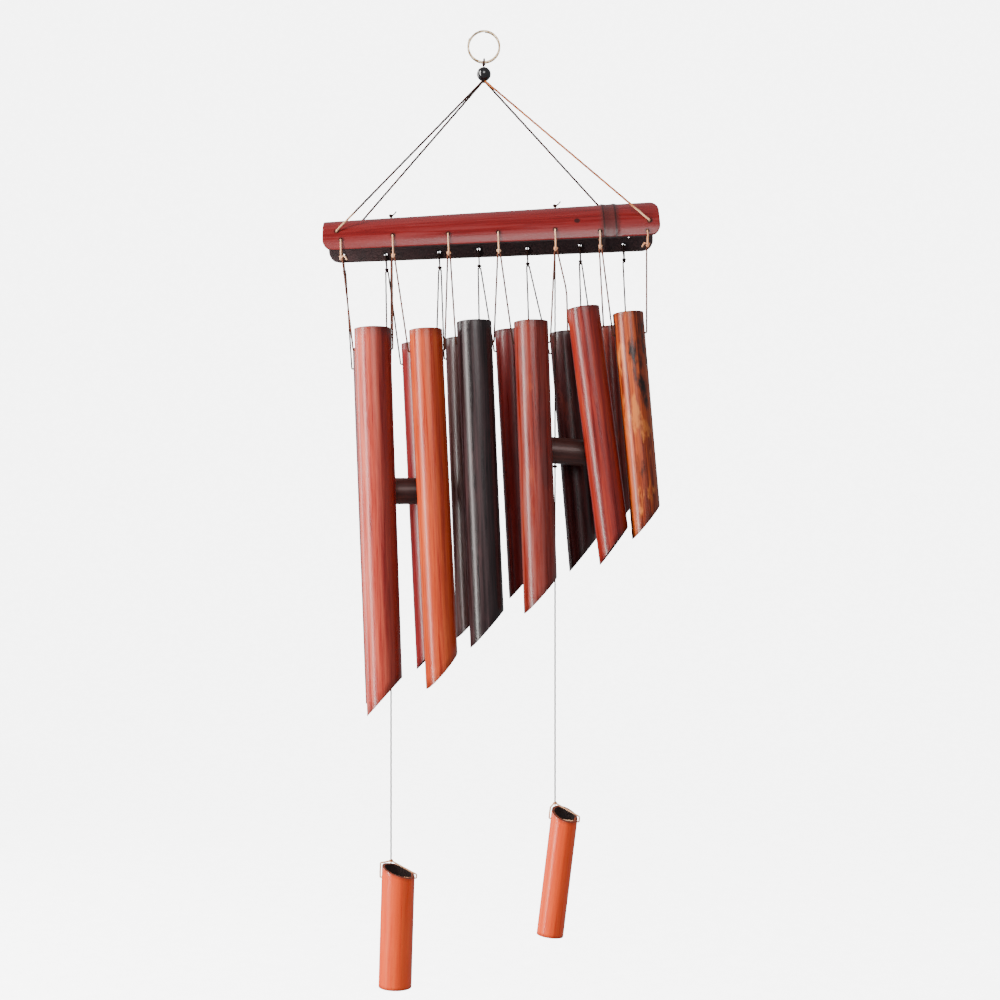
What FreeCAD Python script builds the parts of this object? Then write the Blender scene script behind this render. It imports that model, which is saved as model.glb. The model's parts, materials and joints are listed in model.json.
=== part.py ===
import FreeCAD, Part
import math
import os
import Sketcher

# Bamboo wind chime that hangs from a split ring. Millimetres. The origin is the ring's centre.
# +X runs along the header towards its thicker end, +Y points to the back row, +Z points up.
# The chime is built as it hangs: the header dips towards the end that carries the longest tubes.

doc = FreeCAD.newDocument("WindChime")
sizes = doc.addObject("Spreadsheet::Sheet", "Sizes")
Vec = FreeCAD.Vector

# ---------------------------------------------------------------- driving dimensions
DIMENSIONS = [
    # split ring, cord loop round it, bead
    ("ring_outer_radius", 12.9),
    ("ring_wire_radial", 1.6),
    ("ring_wire_width", 2.4),
    ("ring_seam", 0.2),
    ("loop_gap", 0.25),
    ("bead_diameter", 11.0),
    ("bead_gap", 0.35),
    ("neck_cord_diameter", 2.8),
    ("neck_gap", 0.2),
    # cords
    ("hanger_cord_diameter", 1.6),
    ("tube_cord_diameter", 1.3),
    ("clapper_string_diameter", 1.2),
    ("knot_gap", 0.3),
    ("cord_gap", 0.5),
    # half-culm header
    ("header_length", 258.0),
    ("header_radius", 28.0),
    ("header_radius_gain", 4.8),
    ("header_wall", 4.0),
    ("header_cut_drop", 1.0),
    ("header_depth", 157.4),
    ("header_shift", 6.0),
    ("header_tilt", 2.43),
    ("corner_left_low", 8.0),
    ("corner_right_low", 8.0),
    ("corner_right_top", 10.0),
    ("corner_left_top", 2.0),
    ("culm_node_from_end", 38.0),
    ("culm_node_half_width", 4.5),
    ("culm_node_swell", 0.8),
    ("culm_membrane_stub", 1.4),
    # holes in the header
    ("edge_hole_diameter", 2.6),
    ("hanger_hole_diameter", 3.0),
    ("string_hole_diameter", 4.0),
    ("front_margin_left", 14.2),
    ("front_margin_right", 10.1),
    ("back_margin_left", 11.0),
    ("back_margin_right", 23.5),
    ("front_hole_rise", 8.2),
    ("back_hole_rise", 5.6),
    ("hanger_margin_left", 11.0),
    ("hanger_margin_front_right", 8.0),
    ("hanger_margin_back_right", 20.0),
    ("hanger_rise_left", 14.0),
    ("hanger_rise_right", 10.5),
    # edge loops and the rows that hang from them
    ("edge_knot_diameter", 3.6),
    ("edge_knot_drop", 6.9),
    ("leg_spread", 0.95),
    ("tube_drop", 76.0),
    # chime tubes
    ("tube_diameter", 25.6),
    ("tube_wall", 2.4),
    ("longest_front_tube", 295.0),
    ("front_length_step", 25.0),
    ("longest_back_tube", 284.0),
    ("back_length_step", 23.8),
    ("side_hole_from_top", 16.0),
    ("side_hole_gap", 0.55),
    ("tube_cut_angle", 46.0),
    ("slant_reach", 3.0),
    # clappers and strings
    ("strike_gap", 3.6),
    ("clapper_length", 48.0),
    ("clapper_wall", 3.0),
    ("clapper_bore_diameter", 4.0),
    ("string_knot_diameter", 3.8),
    ("left_clapper_depth", 346.4),
    ("right_clapper_depth", 314.8),
    ("left_clapper_slope", 0.0),
    ("right_clapper_slope", 5.0),
    ("left_string_offset", -2.2),
    ("right_string_offset", 2.0),
    # wind catchers
    ("left_catcher_depth", 635.0),
    ("right_catcher_depth", 590.0),
    ("left_catcher_diameter", 26.0),
    ("right_catcher_diameter", 21.2),
    ("catcher_wall", 2.4),
    ("left_catcher_length", 95.0),
    ("right_catcher_length", 100.0),
    ("left_catcher_hole_from_top", 10.0),
    ("right_catcher_hole_from_top", 9.5),
    ("catcher_loop_rise", 13.0),
    ("loop_rim_gap", 1.6),
    ("left_catcher_side", 5.6),
    ("right_catcher_side", 7.0),
    ("left_catcher_lean", -1.7),
    ("right_catcher_lean", -7.0),
    ("left_catcher_top_slope", 19.0),
    ("right_catcher_top_slope", 24.0),
    ("left_catcher_top_turn", -22.0),
    ("right_catcher_top_turn", -60.0),
]

# Hand drilling and natural culms scatter the sizes a little. One row per hole: along the header, up.
HOLE_SCATTER = {
    "front": [(0, -0.6), (0.8, 1.2), (4.2, 0.4), (3.4, -0.5), (7.9, -0.4), (2.9, -3.2), (0, -4.6)],
    "back": [(0, 0), (-3.4, -0.8), (1.7, -0.4), (-4.0, 0.6), (-2.5, -0.2), (2.4, 0.6), (0, 0)],
}
# One row per tube, left to right: extra length, extra diameter, lean from square to the header,
# extra cord length, shift along the header, and how far the slanted end is turned to the front.
TUBE_SCATTER = {
    "front": [
        (0.0, 2.2, -0.5, 1.7, 1.4, 0),
        (3.0, -0.2, 0.3, 4.4, 1.1, 14),
        (3.0, 1.1, 0.0, -0.2, -2.1, 4),
        (2.0, 0.6, -0.4, 1.7, 0.2, 6),
        (1.0, -0.4, 5.0, -7.2, 3.0, -8),
        (2.0, -2.1, 2.5, -1.8, 1.4, 5),
    ],
    "back": [
        (0.0, 0.4, -0.3, 8.5, -0.2, 0),
        (0.0, 0.4, 0.3, 6.2, 0.8, -5),
        (2.6, 0.4, -0.2, 3.7, -1.2, 8),
        (1.4, 0.4, 0.7, -1.0, 3.8, 3),
        (2.2, -1.6, 2.4, 2.4, 6.3, -6),
        (0.0, -1.6, 1.3, -0.1, 3.7, 0),
    ],
}
TUBE_FIELDS = ["extra_length", "extra_diameter", "lean", "extra_drop", "side_shift", "cut_turn"]
ROWS = {"front": -1, "back": 1}
SIDES = {"left": -1, "right": 1}

for row, scatter in HOLE_SCATTER.items():
    for number, (along, up) in enumerate(scatter, 1):
        DIMENSIONS.append((f"{row}_hole_{number}_along", along))
        DIMENSIONS.append((f"{row}_hole_{number}_up", up))
for row, scatter in TUBE_SCATTER.items():
    for number, values in enumerate(scatter, 1):
        for field, value in zip(TUBE_FIELDS, values):
            DIMENSIONS.append((f"{row}_tube_{number}_{field}", value))

for line, (alias, value) in enumerate(DIMENSIONS, 1):
    sizes.set(f"A{line}", alias)
    sizes.set(f"B{line}", str(value))
    sizes.setAlias(f"B{line}", alias)
doc.recompute()


def size(alias):
    """The number in the sheet's cell of that name."""
    return float(sizes.get(alias))


# ---------------------------------------------------------------- the header's own frame
HEADER_PLACE = FreeCAD.Placement(
    Vec(size("header_shift"), 0, -size("header_depth")),
    FreeCAD.Rotation(Vec(0, 1, 0), -size("header_tilt")),
)
HALF_LENGTH = size("header_length") / 2
ROW_OFFSET = size("header_radius")
KNOT_HEIGHT = -size("header_cut_drop") - size("edge_knot_drop")
KNOT_RADIUS = size("edge_knot_diameter") / 2
TUBE_CORD_RADIUS = size("tube_cord_diameter") / 2
CORD_RADII = []


NODE_STATION = HALF_LENGTH - size("culm_node_from_end")
NODE_HALF = size("culm_node_half_width")
NODE_FADE = 1.6 * NODE_HALF
NODE_WAIST = 0.3


def culm_radius(along):
    """Outer radius of the header's culm at a place along it, without the node's swelling."""
    return size("header_radius") + size("header_radius_gain") * along / size("header_length")


def swollen_radius(along):
    """Outer radius of the header's culm with the two ridges of its node."""
    off = abs(along - NODE_STATION)
    if off < NODE_HALF:
        share = NODE_WAIST + (1 - NODE_WAIST) * off / NODE_HALF
    else:
        share = max(0, (NODE_FADE - off) / (NODE_FADE - NODE_HALF))
    return culm_radius(along) + size("culm_node_swell") * share


def inner_radius(along):
    """Inner radius of the header's culm, beside the stub of the node's membrane."""
    return culm_radius(along) - size("header_wall")


def edge_hole(row, number):
    """Place of an edge hole in the header's frame: (along, up)."""
    left = -HALF_LENGTH + size(f"{row}_margin_left")
    right = HALF_LENGTH - size(f"{row}_margin_right")
    pitch = (right - left) / (len(HOLE_SCATTER[row]) - 1)
    along = left + pitch * (number - 1) + size(f"{row}_hole_{number}_along")
    up = size(f"{row}_hole_rise") - size("header_cut_drop") + size(f"{row}_hole_{number}_up")
    return along, up


def hanger_hole(row, side):
    """Place of a hanger hole in the header's frame: (along, up)."""
    if side == "left":
        return -HALF_LENGTH + size("hanger_margin_left"), size("hanger_rise_left")
    return HALF_LENGTH - size(f"hanger_margin_{row}_right"), size("hanger_rise_right")


def to_world(along, across, up):
    """A point of the header's frame in the chime's frame."""
    return HEADER_PLACE.multVec(Vec(along, across, up))


# ---------------------------------------------------------------- building helpers
def finish_feature(label, shape):
    """A document object that holds a shape made with Part's own functions."""
    feature = doc.addObject("Part::Feature", label)
    feature.Label = label
    feature.Shape = shape
    return feature


def bind(item, **expressions):
    """Binds properties of a document object to expressions of the sheet's cells."""
    for name, expression in expressions.items():
        item.setExpression(name.replace("__", "."), expression)


def origin_plane(body, role):
    """One of a body's own origin planes or axes."""
    return next(item for item in body.Origin.OriginFeatures if item.Role == role)


def new_body(label):
    """An empty body with its own label."""
    body = doc.addObject("PartDesign::Body", label)
    body.Label = label
    return body


def new_sketch(body, name, role, turn=0.0):
    """A sketch on one of the body's origin planes, turned about the body's Z axis."""
    sketch = body.newObject("Sketcher::SketchObject", name)
    sketch.AttachmentSupport = [(origin_plane(body, role), "")]
    sketch.MapMode = "FlatFace"
    if turn:
        sketch.AttachmentOffset = FreeCAD.Placement(Vec(), FreeCAD.Rotation(Vec(0, 1, 0), turn))
    return sketch


def add_circle(sketch, x, y, diameter_expression):
    """A circle at a fixed place whose diameter is bound to the sheet."""
    index = sketch.addGeometry(Part.Circle(Vec(x, y, 0), Vec(0, 0, 1), 1.0), False)
    name = f"diameter_{index}"
    sketch.addConstraint(Sketcher.Constraint("Diameter", index, 2.0))
    sketch.renameConstraint(sketch.ConstraintCount - 1, name)
    sketch.setExpression(f"Constraints.{name}", diameter_expression)
    for axis, value in (("DistanceX", x), ("DistanceY", y)):
        sketch.addConstraint(Sketcher.Constraint(axis, -1, 1, index, 3, value))


def add_outline(sketch, points):
    """A closed outline of straight lines through the points."""
    for start, end in zip(points, points[1:] + points[:1]):
        sketch.addGeometry(Part.LineSegment(Vec(*start, 0), Vec(*end, 0)), False)


def add_pad(body, sketch, name, length_expression, midplane=False, reverse=False):
    """A pad whose length is bound to the sheet."""
    pad = body.newObject("PartDesign::Pad", name)
    pad.Profile = sketch
    pad.SideType = "Symmetric" if midplane else "One side"
    pad.Reversed = reverse
    pad.setExpression("Length", length_expression)
    return pad


def add_pocket(body, sketch, name, midplane=True, reverse=False):
    """A pocket through everything, both ways or one way."""
    pocket = body.newObject("PartDesign::Pocket", name)
    pocket.Profile = sketch
    pocket.Type = "ThroughAll"
    pocket.SideType = "Symmetric" if midplane else "One side"
    pocket.Reversed = reverse
    return pocket


def cord_along(points, bend_radius, radius):
    """A round cord along a route of straight runs joined by tangent arcs."""
    edges = []
    start = points[0]
    for before, corner, after in zip(points, points[1:], points[2:]):
        incoming = (corner - before).normalize()
        outgoing = (after - corner).normalize()
        turn = incoming.getAngle(outgoing)
        reach = bend_radius * math.tan(turn / 2)
        arc_start = corner - incoming * reach
        arc_end = corner + outgoing * reach
        bisector = (outgoing - incoming).normalize()
        centre = corner + bisector * (bend_radius / math.cos(turn / 2))
        arc_middle = centre - bisector * bend_radius
        edges.append(Part.LineSegment(start, arc_start).toShape())
        edges.append(Part.Arc(arc_start, arc_middle, arc_end).toShape())
        CORD_RADII.append(bend_radius)
        start = arc_end
    edges.append(Part.LineSegment(start, points[-1]).toShape())
    path = Part.Wire(edges)
    section = Part.Wire([Part.Circle(points[0], points[1] - points[0], radius).toShape()])
    solid = path.makePipeShell([section], True, False)
    expected = math.pi * radius**2 * path.Length
    if abs(solid.Volume / expected - 1) > 0.01:
        raise RuntimeError("A cord's volume differs from its section times its length")
    return solid


# ---------------------------------------------------------------- ring, loop, bead and neck cord
def build_ring():
    """Split ring: a flat band with the seam between its two turns."""
    body = new_body("hang_ring")
    band = new_sketch(body, "RingBand", "XZ_Plane")
    add_circle(band, 0, 0, "Sizes.ring_outer_radius * 2")
    add_circle(band, 0, 0, "(Sizes.ring_outer_radius - Sizes.ring_wire_radial) * 2")
    add_pad(body, band, "RingPad", "Sizes.ring_wire_width", midplane=True)
    seam = new_sketch(body, "RingSeam", "XY_Plane")
    outer = size("ring_outer_radius")
    half = size("ring_seam") / 2
    depth = size("ring_wire_radial") / 2
    near, far = outer - depth, outer + depth
    add_outline(seam, [(near, -half), (far, -half), (far, half), (near, half)])
    groove = body.newObject("PartDesign::Groove", "RingSeamGroove")
    groove.Profile = seam
    groove.ReferenceAxis = (origin_plane(body, "Y_Axis"), [""])
    groove.Angle = 360
    return body


RING_WIRE_DEPTH = size("ring_outer_radius") - size("ring_wire_radial") / 2
LOOP_CORD_RADIUS = size("hanger_cord_diameter") / 2
LOOP_RADIUS = (
    math.hypot(size("ring_wire_radial"), size("ring_wire_width")) / 2 + size("loop_gap") + LOOP_CORD_RADIUS
)
BEAD_DEPTH = RING_WIRE_DEPTH + LOOP_RADIUS + LOOP_CORD_RADIUS + size("bead_gap") + size("bead_diameter") / 2
NECK_FOOT = BEAD_DEPTH + size("bead_diameter") / 2 + size("neck_gap")


def build_ring_loop():
    """Cord loop round the bottom of the ring."""
    loop = doc.addObject("Part::Torus", "ring_loop")
    loop.Radius1 = LOOP_RADIUS
    bind(loop, Radius2="Sizes.hanger_cord_diameter / 2")
    loop.Placement = FreeCAD.Placement(Vec(0, 0, -RING_WIRE_DEPTH), FreeCAD.Rotation(Vec(0, 1, 0), 90))
    return loop


def build_bead():
    """Round bead with a bore for the gathered cords."""
    ball = doc.addObject("Part::Sphere", "BeadBall")
    bind(ball, Radius="Sizes.bead_diameter / 2")
    bore = doc.addObject("Part::Cylinder", "BeadBore")
    bind(bore, Radius="Sizes.neck_cord_diameter / 2 + Sizes.neck_gap", Height="Sizes.bead_diameter * 2")
    bore.Placement.Base = Vec(0, 0, -size("bead_diameter"))
    bead = doc.addObject("Part::Cut", "top_bead")
    bead.Base = ball
    bead.Tool = bore
    bead.Placement.Base = Vec(0, 0, -BEAD_DEPTH)
    return bead


def build_neck_cord():
    """The four hanger cords gathered into one bundle inside the bead."""
    neck = doc.addObject("Part::Cylinder", "neck_cord")
    bind(neck, Radius="Sizes.neck_cord_diameter / 2", Height="Sizes.bead_diameter")
    neck.Placement.Base = Vec(0, 0, -NECK_FOOT)
    return neck


# ---------------------------------------------------------------- header and its hanger cords
def build_header():
    """Half of a tapered culm with its node, rounded corners and every drilled hole."""
    body = new_body("header")
    wall = size("header_wall")
    right = culm_radius(HALF_LENGTH)
    ridges = [NODE_STATION + offset for offset in (-NODE_FADE, -NODE_HALF, 0, NODE_HALF, NODE_FADE)]
    stations = [-HALF_LENGTH, *ridges, HALF_LENGTH]
    outside = [(along, swollen_radius(along)) for along in stations]
    foot = NODE_HALF / 2
    stub = [(NODE_STATION + foot, 0), (NODE_STATION, size("culm_membrane_stub")), (NODE_STATION - foot, 0)]
    inner = [(HALF_LENGTH, 0), *stub, (-HALF_LENGTH, 0)]
    inside = [(along, culm_radius(along) - wall - inward) for along, inward in inner]
    profile = new_sketch(body, "CulmProfile", "XY_Plane")
    add_outline(profile, outside + inside)
    culm = body.newObject("PartDesign::Revolution", "Culm")
    culm.Profile = profile
    culm.ReferenceAxis = (origin_plane(body, "X_Axis"), [""])
    culm.Angle = 360

    # everything outside the rounded outline seen from the front goes, and so does the lower half
    outline = new_sketch(body, "HeaderOutline", "XZ_Plane")
    low = -size("header_cut_drop")
    top = right + size("culm_node_swell")
    beyond = 2 * right
    end = HALF_LENGTH + wall
    add_outline(outline, [(-end, -beyond), (end, -beyond), (end, beyond), (-end, beyond)])
    corners = [
        (-HALF_LENGTH, low, size("corner_left_low"), 180),
        (HALF_LENGTH, low, size("corner_right_low"), 270),
        (HALF_LENGTH, top, size("corner_right_top"), 0),
        (-HALF_LENGTH, top, size("corner_left_top"), 90),
    ]
    ends = []
    for x, z, radius, start in corners:
        centre = Vec(x - math.copysign(radius, x), z + (radius if z == low else -radius), 0)
        circle = Part.Circle(centre, Vec(0, 0, 1), radius)
        arc = Part.ArcOfCircle(circle, math.radians(start), math.radians(start + 90))
        outline.addGeometry(arc, False)
        ends.append((arc.StartPoint, arc.EndPoint))
    for here, after in zip(ends, ends[1:] + ends[:1]):
        outline.addGeometry(Part.LineSegment(here[1], after[0]), False)
    add_pocket(body, outline, "HeaderTrim")

    for row, way in ROWS.items():
        holes = new_sketch(body, f"Holes_{row}", "XZ_Plane")
        for number in range(1, len(HOLE_SCATTER[row]) + 1):
            add_circle(holes, *edge_hole(row, number), "Sizes.edge_hole_diameter")
        for side in SIDES:
            add_circle(holes, *hanger_hole(row, side), "Sizes.hanger_hole_diameter")
        add_pocket(body, holes, f"Drill_{row}", midplane=False, reverse=way < 0)
    tops = new_sketch(body, "StringHoles", "XY_Plane")
    for side in SIDES:
        add_circle(tops, string_station(side), 0, "Sizes.string_hole_diameter")
    add_pocket(body, tops, "DrillTop", midplane=False, reverse=True)
    body.Placement = HEADER_PLACE
    return body


def across_at(radius, up):
    """Distance from the culm's middle plane to a surface of that radius, at a height above its axis."""
    return math.sqrt(radius**2 - up**2)


HANGER_RADIUS = size("hanger_cord_diameter") / 2
HANGER_BEND = size("hanger_cord_diameter") * 1.5
HANGER_KNOT_RADIUS = size("hanger_hole_diameter") / 2 + size("knot_gap")


def hanger_route(row, side):
    """The route of a hanger cord: under the bead, outside its hole, and inside the header."""
    along, up = hanger_hole(row, side)
    way = ROWS[row]
    clear = size("knot_gap")
    mouth = to_world(along, way * (across_at(swollen_radius(along), up) + HANGER_RADIUS + clear), up)
    inside = to_world(along, way * (across_at(inner_radius(along), up) - clear), up)
    spread = size("neck_cord_diameter") / 2 - HANGER_RADIUS / 2
    start = Vec(SIDES[side] * spread, way * spread, -NECK_FOOT - size("knot_gap"))
    return [start, mouth, inside]


def build_hanger_cords():
    """Four taut cords from the bead to the header's corners, and the knots that hold them inside."""
    made = []
    knots = []
    for row in ROWS:
        for side in SIDES:
            route = hanger_route(row, side)
            cord = cord_along(route, HANGER_BEND, HANGER_RADIUS)
            made.append(finish_feature(f"hanger_cord_{row}_{side}", cord))
            along, up = hanger_hole(row, side)
            inner = across_at(inner_radius(along), up) - 2 * size("knot_gap") - HANGER_KNOT_RADIUS
            knots.append(Part.makeSphere(HANGER_KNOT_RADIUS, to_world(along, ROWS[row] * inner, up)))
    made.append(finish_feature("hanger_knots", Part.makeCompound(knots)))
    return made


def build_edge_loops(row):
    """Cord loops through the edge holes, each tied below the header's edge with one knot."""
    way = ROWS[row]
    low = -size("header_cut_drop")
    clear = TUBE_CORD_RADIUS + size("knot_gap")
    loops = []
    for number in range(1, len(HOLE_SCATTER[row]) + 1):
        along, up = edge_hole(row, number)
        outer = across_at(swollen_radius(along), up) + clear
        inner = across_at(inner_radius(along), up) - clear
        bulge = swollen_radius(along) + clear + size("knot_gap")
        hollow = inner_radius(along) - clear
        stations = [
            (ROW_OFFSET - KNOT_RADIUS / 2, KNOT_HEIGHT),
            (hollow, low - clear),
            (inner, up),
            (outer, up),
            (bulge, low),
            (ROW_OFFSET + KNOT_RADIUS / 2, KNOT_HEIGHT),
        ]
        route = [to_world(along, way * across, height) for across, height in stations]
        strand = cord_along(route, size("tube_cord_diameter"), TUBE_CORD_RADIUS)
        knot = Part.makeSphere(KNOT_RADIUS, to_world(along, way * ROW_OFFSET, KNOT_HEIGHT))
        loops.append(strand.fuse(knot))
    return finish_feature(f"edge_loops_{row}", Part.makeCompound(loops))


# ---------------------------------------------------------------- chime tubes and their cords
def tube_radius(row, number):
    """Outer radius of a chime tube."""
    return (size("tube_diameter") + size(f"{row}_tube_{number}_extra_diameter")) / 2


def tube_length(row, number):
    """How long a tube is: the row's longest, less a step for each place, plus its own scatter."""
    steps = (number - 1) * size(f"{row}_length_step")
    return size(f"longest_{row}_tube") - steps + size(f"{row}_tube_{number}_extra_length")


def tube_place(row, number):
    """The middle of a tube's side holes and how far the tube leans from plumb, in degrees."""
    along = (edge_hole(row, number)[0] + edge_hole(row, number + 1)[0]) / 2
    along += size(f"{row}_tube_{number}_side_shift")
    drop = size("header_cut_drop") + size("tube_drop") + size(f"{row}_tube_{number}_extra_drop")
    lean = size("header_tilt") + size(f"{row}_tube_{number}_lean")
    return to_world(along, ROWS[row] * ROW_OFFSET, -drop), lean


def leaning(place, lean):
    """A placement at a point, with the foot swung towards +X by the lean."""
    return FreeCAD.Placement(place, FreeCAD.Rotation(Vec(0, 1, 0), -lean))


def hollow_tube(label, diameter, wall, length, top):
    """A body with a bored tube along its Z axis and cross holes for a cord at its origin."""
    body = new_body(label)
    section = new_sketch(body, f"{label}_section", "XY_Plane")
    add_circle(section, 0, 0, diameter)
    add_circle(section, 0, 0, f"{diameter} - 2 * {wall}")
    section.setExpression("AttachmentOffset.Base.z", top)
    add_pad(body, section, f"{label}_pad", length, reverse=True)
    cross = new_sketch(body, f"{label}_cross", "YZ_Plane")
    add_circle(cross, 0, 0, "Sizes.tube_cord_diameter + 2 * Sizes.side_hole_gap")
    add_pocket(body, cross, f"{label}_cross_holes")
    return body


def slanted_end(body, radius, level, slope, turn, way):
    """Cuts a tube's end along a slope. way is -1 at the foot and +1 at the top."""
    sketch = new_sketch(body, f"{body.Label}_slant", "XZ_Plane", turn)
    reach = radius * size("slant_reach")
    rise = reach * math.tan(math.radians(slope))
    beyond = level + way * (rise + reach)
    add_outline(sketch, [(-reach, level - rise), (reach, level + rise), (reach, beyond), (-reach, beyond)])
    add_pocket(body, sketch, f"{body.Label}_slant_cut")


def build_tube(row, number):
    """A chime tube, square at the top, slanted at the foot, hung by two side holes."""
    own = f"Sizes.{row}_tube_{number}"
    length = (
        f"Sizes.longest_{row}_tube - {number - 1} * Sizes.{row}_length_step + {own}_extra_length"
    )
    diameter = f"(Sizes.tube_diameter + {own}_extra_diameter)"
    label = f"chime_tube_{row}_{number}"
    body = hollow_tube(label, diameter, "Sizes.tube_wall", length, "Sizes.side_hole_from_top")
    radius = tube_radius(row, number)
    slope = size("tube_cut_angle")
    foot = size("side_hole_from_top") - tube_length(row, number)
    middle = foot + radius * math.tan(math.radians(slope))
    slanted_end(body, radius, middle, slope, size(f"{row}_tube_{number}_cut_turn"), -1)
    body.Placement = leaning(*tube_place(row, number))
    return body


def build_tube_cord(row, number):
    """The cord that hangs a tube: down one side, across inside the tube and up the other side."""
    centre, lean = tube_place(row, number)
    reach = tube_radius(row, number) + size("cord_gap") + TUBE_CORD_RADIUS
    across = FreeCAD.Rotation(Vec(0, 1, 0), -lean).multVec(Vec(reach, 0, 0))
    route = []
    for way, hole in ((-1, number), (1, number + 1)):
        knot_along = edge_hole(row, hole)[0] - way * size("leg_spread")
        drop = KNOT_RADIUS + size("knot_gap")
        top = to_world(knot_along, ROWS[row] * ROW_OFFSET, KNOT_HEIGHT - drop)
        route.append([top, centre + across * way])
    left, right = route
    cord = cord_along([*left, right[1], right[0]], size("tube_cord_diameter"), TUBE_CORD_RADIUS)
    return finish_feature(f"tube_cord_{row}_{number}", cord)


# ---------------------------------------------------------------- clappers, strings, wind catchers
STRING_KNOT_RADIUS = size("string_knot_diameter") / 2
FRONT_HOLE_OF_STRING = {"left": 2, "right": 5}


def string_station(side):
    """Where a clapper's string passes through the header, along the header."""
    return edge_hole("front", FRONT_HOLE_OF_STRING[side])[0] + size(f"{side}_string_offset")


def string_top(side):
    """The middle of the knot that a clapper's string hangs from, on top of the header."""
    along = string_station(side)
    return to_world(along, 0, swollen_radius(along) + STRING_KNOT_RADIUS + size("loop_gap"))


def clapper_radius():
    """The clapper fills the lane between the rows apart from the strike gap."""
    widest = max(tube_radius(row, n) for row in ROWS for n in range(1, len(TUBE_SCATTER[row]) + 1))
    return ROW_OFFSET - widest - size("strike_gap")


def clapper_knot_depth(side):
    """Depth of the knot under a clapper."""
    return size(f"{side}_clapper_depth") + clapper_radius() + STRING_KNOT_RADIUS + size("knot_gap")


def plumb_cord(label, x, upper, lower, diameter_alias):
    """A straight plumb cord between two depths below the ring's centre."""
    cord = doc.addObject("Part::Cylinder", label)
    cord.setExpression("Radius", f"Sizes.{diameter_alias} / 2")
    cord.Height = lower - upper
    cord.Placement.Base = Vec(x, 0, -lower)
    return cord


def round_knot(label, place):
    """A tight knot in a clapper's string."""
    knot = doc.addObject("Part::Sphere", label)
    knot.setExpression("Radius", "Sizes.string_knot_diameter / 2")
    knot.Placement.Base = place
    return knot


def build_clapper(side):
    """A short culm piece that lies between the rows, with a bore for its string."""
    body = new_body(f"clapper_{side}")
    section = new_sketch(body, f"clapper_{side}_section", "YZ_Plane")
    add_circle(section, 0, 0, str(2 * clapper_radius()))
    add_circle(section, 0, 0, f"{2 * clapper_radius()} - 2 * Sizes.clapper_wall")
    add_pad(body, section, f"clapper_{side}_pad", "Sizes.clapper_length", midplane=True)
    bore = new_sketch(body, f"clapper_{side}_bore", "XY_Plane")
    add_circle(bore, 0, 0, "Sizes.clapper_bore_diameter")
    add_pocket(body, bore, f"clapper_{side}_string_bore")
    place = Vec(string_top(side).x, 0, -size(f"{side}_clapper_depth"))
    body.Placement = FreeCAD.Placement(place, FreeCAD.Rotation(Vec(0, 1, 0), size(f"{side}_clapper_slope")))
    return body


def catcher_place(side):
    """The middle of a wind catcher's side holes and its lean."""
    knot = Vec(string_top(side).x, 0, -size(f"{side}_catcher_depth"))
    drop = size("catcher_loop_rise")
    return knot + Vec(size(f"{side}_catcher_side"), 0, -drop), size(f"{side}_catcher_lean")


def rim_height(side, sideways):
    """Height of a catcher's slanted rim above its side holes, that far to the right of its axis."""
    rise = math.tan(math.radians(size(f"{side}_catcher_top_slope")))
    turned = sideways * math.cos(math.radians(size(f"{side}_catcher_top_turn")))
    return size(f"{side}_catcher_hole_from_top") - rise * (size(f"{side}_catcher_diameter") / 2 + turned)


def build_catcher(side):
    """A short culm piece, slanted at the top, that hangs below the tubes and catches the wind."""
    body = hollow_tube(
        f"wind_catcher_{side}",
        f"Sizes.{side}_catcher_diameter",
        "Sizes.catcher_wall",
        f"Sizes.{side}_catcher_length",
        f"Sizes.{side}_catcher_hole_from_top",
    )
    radius = size(f"{side}_catcher_diameter") / 2
    slope = size(f"{side}_catcher_top_slope")
    slanted_end(body, radius, rim_height(side, 0), -slope, size(f"{side}_catcher_top_turn"), 1)
    body.Placement = leaning(*catcher_place(side))
    return body


def build_catcher_loop(side):
    """The loop that carries a catcher: over the rim, through both side holes, back to its knot."""
    centre, lean = catcher_place(side)
    radius = size(f"{side}_catcher_diameter") / 2
    reach = radius + size("cord_gap") + TUBE_CORD_RADIUS
    turn = FreeCAD.Rotation(Vec(0, 1, 0), -lean)
    knot = Vec(string_top(side).x, 0, -size(f"{side}_catcher_depth"))
    over_left, over_right = (rim_height(side, way * radius) + size("loop_rim_gap") for way in (-1, 1))
    stations = [(-reach, over_left), (-reach, 0), (reach, 0), (reach, over_right)]
    over = [centre + turn.multVec(Vec(x, 0, z)) for x, z in stations]
    apart = Vec(TUBE_CORD_RADIUS, 0, 0)
    strand = cord_along([knot - apart, *over, knot + apart], size("tube_cord_diameter"), TUBE_CORD_RADIUS)
    return finish_feature(
        f"catcher_loop_{side}", strand.fuse(Part.makeSphere(STRING_KNOT_RADIUS, knot))
    )


def build_clapper_line(side):
    """Everything on one clapper's string, from the knot on the header to the wind catcher."""
    top = string_top(side)
    clear = STRING_KNOT_RADIUS + size("knot_gap")
    knot_depth = clapper_knot_depth(side)
    string = "clapper_string_diameter"
    return [
        round_knot(f"string_top_knot_{side}", top),
        plumb_cord(f"upper_string_{side}", top.x, -top.z + clear, knot_depth - clear, string),
        build_clapper(side),
        round_knot(f"clapper_knot_{side}", Vec(top.x, 0, -knot_depth)),
        plumb_cord(
            f"lower_string_{side}", top.x, knot_depth + clear, size(f"{side}_catcher_depth") - clear, string
        ),
        build_catcher_loop(side),
        build_catcher(side),
    ]


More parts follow.
